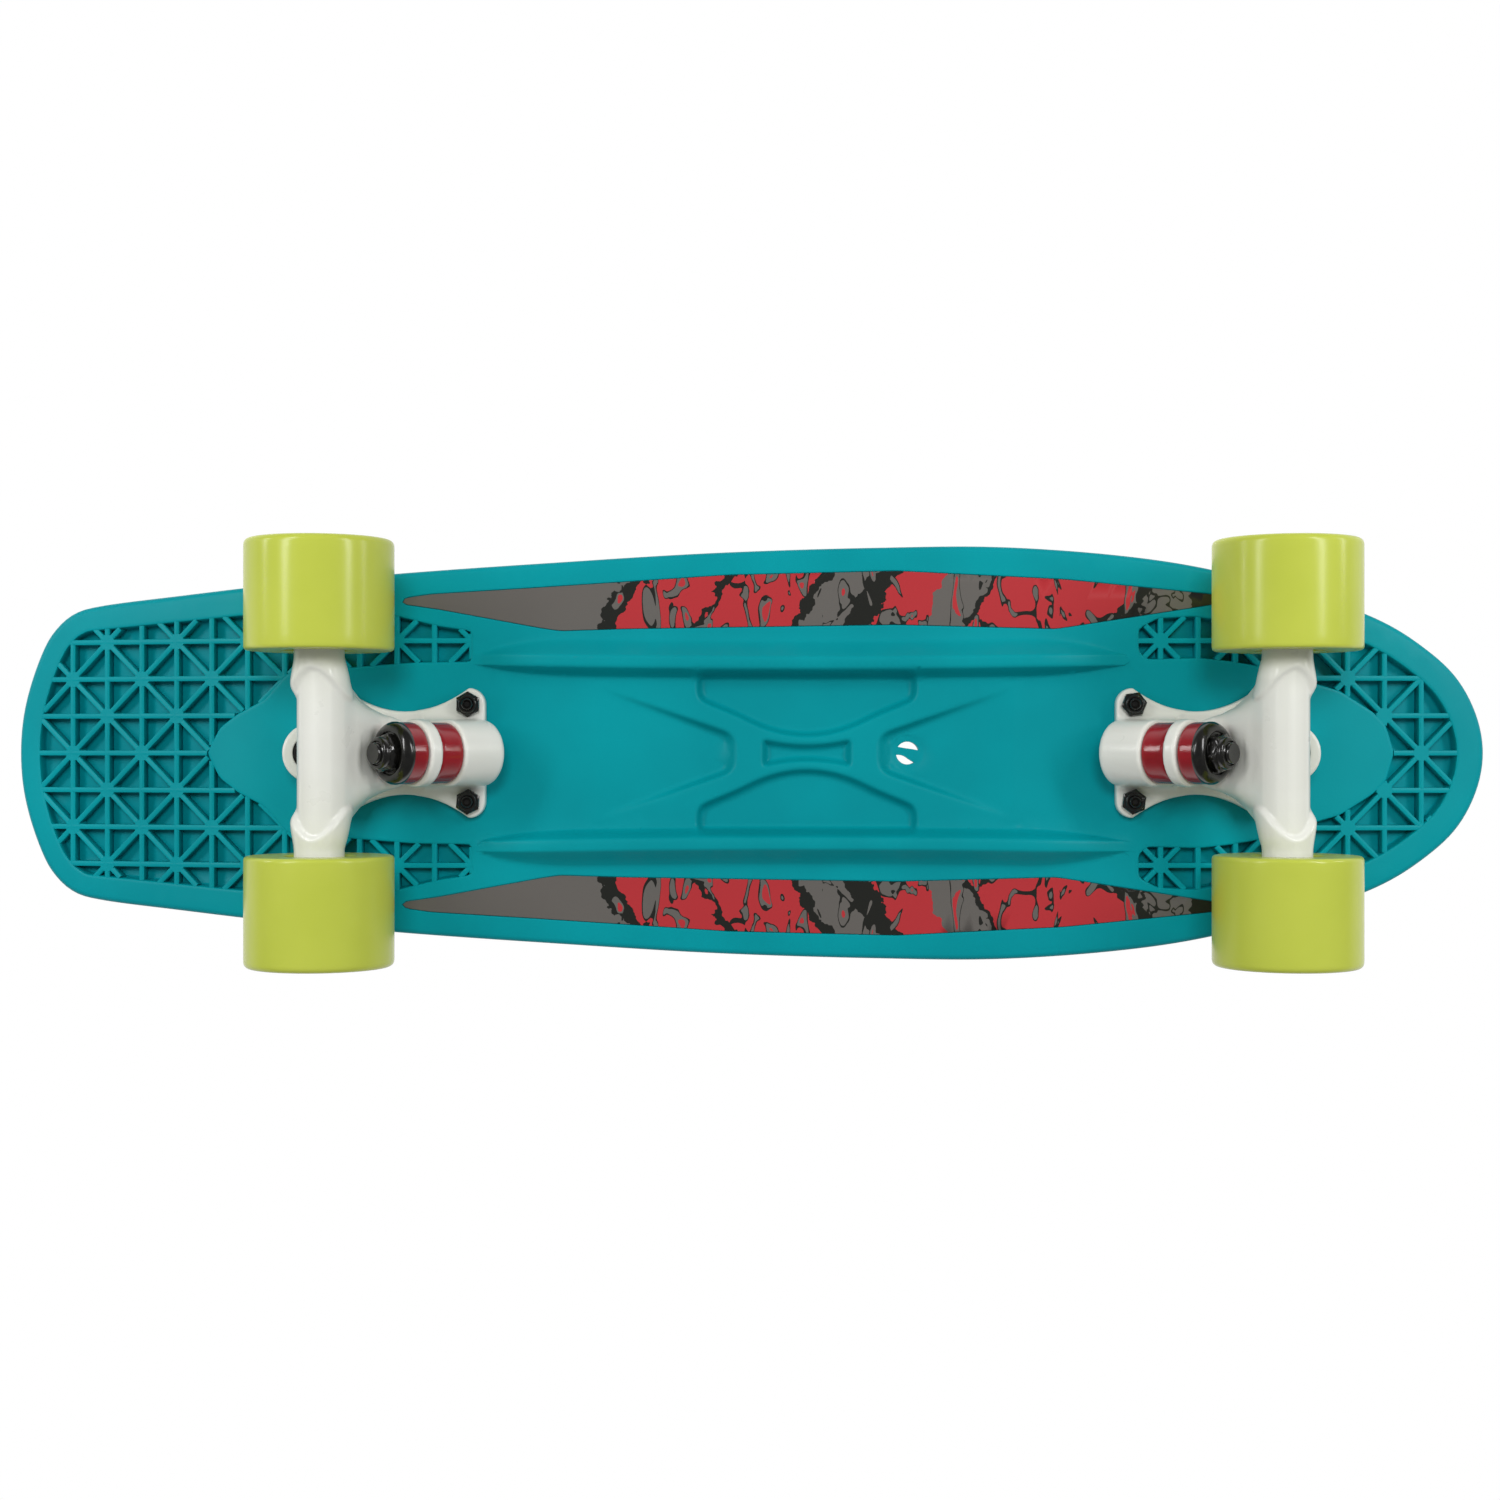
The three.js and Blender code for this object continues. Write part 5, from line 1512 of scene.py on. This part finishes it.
truckBolt = {
    "radius": 2.4,
    "end": 38.9,
    "top": 62.7,
    "threadLength": 8,
    "threadPitch": 0.79,
    "threadDepth": 0.25,
    "headRadius": 4.8,
    "headHeight": 2.8,
    "dimple": 1.3,  # in the cut end
    "crossWidth": 1.1,
    "crossReach": 2.3,
    "crossDepth": 1.5,
    "crossDraft": 0.24,  # how far its walls slope in
    "crossRun": 1.4,  # over how much it rises at its ends
}
lockNut = {"flats": 9.5, "hexHeight": 3.7, "height": 5, "collar": 7.8, "crimp": 0.7, "bore": 5.1,
           "seat": 45.4}
lockNutTurns = {"nose": (22, 8, 0, 15), "tail": (30, 26, 10, 0)}
wheel = {
    "middle": 63.8,
    "radius": 30,
    "half": 22.5,
    "outerCorner": 3,
    "innerCorner": 1.9,
    "recess": 15,
    "recessFloor": 12.4,
    "seatTop": 12,
    "seatFloor": 5,
    "seat": 11.03,
    "seatChamfer": 0.3,
    "core": 9.5,
    "sides": 128,
}
bearing = {
    "outer": 11,
    "inner": 4.05,
    "width": 7,
    "shield": (6.1, 9.5),
    "shieldSink": 0.35,
    "places": {"inner": 51.8, "outer": 68.8},
}
bearingSpacer = {"inner": 4.1, "outer": 5.3, "length": 9.4, "chamfer": 0.3}


# About +Z turned to lie across the board, its +Z facing outwards on that side
def laid(points, side, distance=0):
    x, y, z = np.asarray(points, float).T
    return np.column_stack([x, side * (z + distance), -side * y])


def kingpinMesh():
    low, high = kingpin["head"]
    head, shaft, end, chamfer = (kingpin[key] for key in ("headRadius", "radius", "end", "headChamfer"))
    thread = threaded(shaft, kingpin["threadFrom"], end - 1.2, kingpin["threadPitch"], kingpin["threadDepth"])
    rows = [(0, low), (head - chamfer, low), (head, low + chamfer), (head, high), (shaft, high),
            (shaft, high + 1), *thread, (shaft - 0.3, end - 1), (kingpin["tipRadius"], end), (0, end - 0.15)]
    return ringedMesh(rows, 48)


def bushingMesh(start, end):
    outer, lip, turn, bore = (bushing[key] for key in ("radius", "endRadius", "round", "bore"))
    rows = [(lip - 0.4, start), *eased((lip, start), (outer - 0.1, start), (outer, start + turn), 5)]
    rows += [(outer + 0.02, height) for height in np.linspace(start + turn, end - turn, 9)[1:-1]]
    rows += [*eased((outer, end - turn), (outer - 0.1, end), (lip, end), 5), (lip - 0.4, end)]
    rows += [(bore, height) for height in np.linspace(end, start, 9)]
    return ringedMesh(rows, 96)


# A bushing is squeezed between its seat on the board and the hanger's ring. Points a little in from each end
# are found, but nothing makes it follow the ring
def placeBushing(name, low, high, end):
    points, faces = bushingMesh(low, high)
    points = atTruck(leant(points, "kingpin"), end)
    piece = meshPiece(f"{end}_{name}_dressed", points, faces, "red_urethane", 35)
    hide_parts(f"{end}_{name}")
    still, moving = (low, high) if low < 0 else (high, low)
    inwards = math.copysign(bushing["stiffEnd"], moving - still)
    spots = leant([(0, 0, still + inwards), (0, 0, moving - inwards)], "kingpin")
    spots = atTruck(spots, end) * mm
    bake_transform(piece)


def pivotCupMesh():
    turns = np.linspace(0, math.pi / 2, 8)[:-1]
    seat = [(pivotCup["seat"] * math.cos(turn), pivotCup["seat"] * math.sin(turn)) for turn in turns]
    return ringedMesh([*pivotCup["outside"], *pivotCup["inside"], *seat, (0, pivotCup["seat"])], 48)


def axleMesh():
    end, radius, chamfer = axle["end"], axle["radius"], axle["chamfer"]
    thread = threaded(radius, axle["threadFrom"], end - chamfer - 0.5, axle["threadPitch"],
                      axle["threadDepth"])
    half = [*thread, (radius - 0.2, end - chamfer), (radius - chamfer, end), (0, end - 0.1)]
    return ringedMesh([*[(r, -h) for r, h in half[::-1]], *half], 32)


def axleNutMesh():
    nut, nutFaces = nutMesh(axleNut)
    inner, outer, thick, chamfer = (speedWasher[key] for key in ("inner", "outer", "thickness", "chamfer"))
    disc = [(inner, -thick), (outer - chamfer, -thick), (outer, chamfer - thick), (outer, 0), (inner, 0)]
    ring, ringFaces = ringedMesh(disc, 48)
    points = np.vstack([spun(nut, axleNut["turn"]), ring])
    return points, [*nutFaces, *[tuple(c + len(nut) for c in face) for face in ringFaces]]


def truckBoltMesh(sides=48):
    bolt = truckBolt
    top, end, head, shaft = bolt["top"], bolt["end"], bolt["headRadius"], bolt["radius"]
    thread = threaded(shaft, end + 0.4, end + bolt["threadLength"], bolt["threadPitch"], bolt["threadDepth"])
    dimple = end + bolt["dimple"]
    rows = [(0, dimple), (shaft - 1.3, dimple - 0.2), (shaft - 0.75, end + 0.15), (shaft - 0.6, end),
            (shaft - 0.3, end), *thread, (shaft, end + bolt["threadLength"] + 1),
            (shaft, top - bolt["headHeight"]), (head, top - 0.25), (head - 0.15, top)]
    turn = turnsRound(sides)
    away = np.minimum(np.abs(np.sin(turn)), np.abs(np.cos(turn)))  # from the nearer arm of the cross
    for radius in (3.4, 2.6, 2.3, 2.0, 1.6, 1.2, 0.9, 0.6, 0.3):
        slope = (bolt["crossWidth"] + bolt["crossDraft"]) / 2 - radius * away
        wall = np.clip(slope / bolt["crossDraft"], 0, 1)
        reach = np.clip((bolt["crossReach"] - radius) / bolt["crossRun"], 0, 1)
        rows.append((np.full(sides, radius), top - bolt["crossDepth"] * wall * reach))
    rows.append((0, top - bolt["crossDepth"]))
    return ringedMesh(rows, sides)


def wheelMesh():
    radius, half = wheel["radius"], wheel["half"]
    outer, inner = wheel["outerCorner"], wheel["innerCorner"]
    recess, core, seat = wheel["recess"], wheel["core"], wheel["seat"]
    top, deep, chamfer = wheel["seatTop"], wheel["seatFloor"], wheel["seatChamfer"]
    hub = [(core, deep), (seat, deep), (seat, top - chamfer), (seat + chamfer, top),
           (wheel["recessFloor"], top)]
    lip = eased((recess - 0.5, half - 1), (recess - 0.1, half), (recess + 0.8, half), 4)
    rows = hub + lip + eased((radius - outer, half), (radius, half), (radius, half - outer), 9)
    rows += [(radius, y) for y in np.linspace(half - outer, inner - half, 12)[1:-1]]
    rows += eased((radius, inner - half), (radius, -half), (radius - inner, -half), 6)
    rows += [(r, -y) for r, y in (hub + lip)[::-1]]
    return ringedMesh(rows, wheel["sides"])


def bearingMesh():
    outer, inner, width, sink = (bearing[key] for key in ("outer", "inner", "width", "shieldSink"))
    low, high = bearing["shield"]
    face = [(inner, 0.3), (inner + 0.3, 0), (low, 0), (low, sink), (low + 0.3, sink),
            (low + 0.5, sink * 0.6), (high - 0.5, sink * 0.6), (high - 0.3, sink), (high, sink), (high, 0),
            (outer - 0.4, 0), (outer, 0.4)]
    return ringedMesh([*face, *[(r, width - h) for r, h in face[::-1]]], 48)


def spacerMesh():
    inner, outer, length, chamfer = (bearingSpacer[key] for key in ("inner", "outer", "length", "chamfer"))
    face = [(inner, -length / 2), (outer - chamfer, -length / 2), (outer, chamfer - length / 2)]
    return ringedMesh([*face, *[(r, -h) for r, h in face[::-1]]], 32)


def placed(name, points, faces, end, slot, body="board", sharpAngle=35):
    piece = meshPiece(f"{end}_{name}_dressed", atTruck(points, end), faces, slot, sharpAngle)
    dress(piece, f"{end}_{name}", body)


def makeTrucks():
    castSharpness = 60
    hangerCast = castMesh(hangerField, *hanger["grid"])
    print("hanger cast:", len(hangerCast[1]), "faces")
    plateCast = castMesh(baseplateField, *baseplate["grid"])
    print("baseplate cast:", len(plateCast[1]), "faces")
    nut, nutFaces = nutMesh(kingpinNut)
    onKingpin = {
        "kingpin": kingpinMesh(),
        "kingpin_nut": (spun(nut, kingpinNut["turn"]) + [0, 0, kingpinNut["seat"]], nutFaces),
        "cup_washer": ringedMesh([*washer["inside"], *washer["rim"], *washer["dome"]], 96),
    }
    cup, cupFaces = pivotCupMesh()
    rod, rodFaces = axleMesh()
    bolt, boltFaces = truckBoltMesh()
    small, smallFaces = nutMesh(lockNut)
    corners = [(x, side * truck["boltGauge"] / 2) for x in truck["boltRow"] for side in (1, -1)]
    for end in ends:
        arm = f"{end}_steering_arm"
        placed("hanger", *hangerCast, end, "white_casting", arm, castSharpness)
        placed("baseplate", *plateCast, end, "white_casting", "board", castSharpness)
        for name, (points, faces) in onKingpin.items():
            placed(name, leant(points, "kingpin"), faces, end, "black_steel")
        for name, (low, high) in bushings.items():
            placeBushing(name, low, high, end)
        placed("pivot_cup", leant(cup, "pivot"), cupFaces, end, "black_rubber")
        placed("axle", laid(rod, 1), rodFaces, end, "bright_steel", arm)
        for i, (x, y) in enumerate(corners):
            placed(f"truck_bolt_{i + 1}", bolt + [x, y, 0], boltFaces, end, "black_steel")
            hung = spun(small, lockNutTurns[end][i]) * [1, -1, -1] + [x, y, lockNut["seat"]]
            placed(f"lock_nut_{i + 1}", hung, smallFaces, end, "black_steel")


def makeWheels():
    tread, treadFaces = wheelMesh()
    race, raceFaces = bearingMesh()
    tube, tubeFaces = spacerMesh()
    nut, nutFaces = axleNutMesh()
    for end, (_, facing) in ends.items():
        arm = f"{end}_steering_arm"
        for side in (1, -1):
            name = "left" if side * facing > 0 else "right"
            wheelSet = f"{end}_{name}_wheel_set"
            middle, seat = wheel["middle"], axleNut["seat"]
            placed(f"{name}_wheel", laid(tread, side, middle), treadFaces, end, "lime_urethane", wheelSet)
            for which, place in bearing["places"].items():
                bearingName = f"{name}_{which}_bearing"
                placed(bearingName, laid(race, side, place), raceFaces, end, "bright_steel", wheelSet)
            placed(f"{name}_bearing_spacer", laid(tube, side, middle), tubeFaces, end, "bright_steel", arm)
            placed(f"{name}_axle_nut", laid(nut, side, seat), nutFaces, end, "bright_steel", arm)


makeTrucks()
makeWheels()
print("trucks and wheels made")


for name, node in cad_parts.items():
    if not node.hide_render:
        print("left:", name)
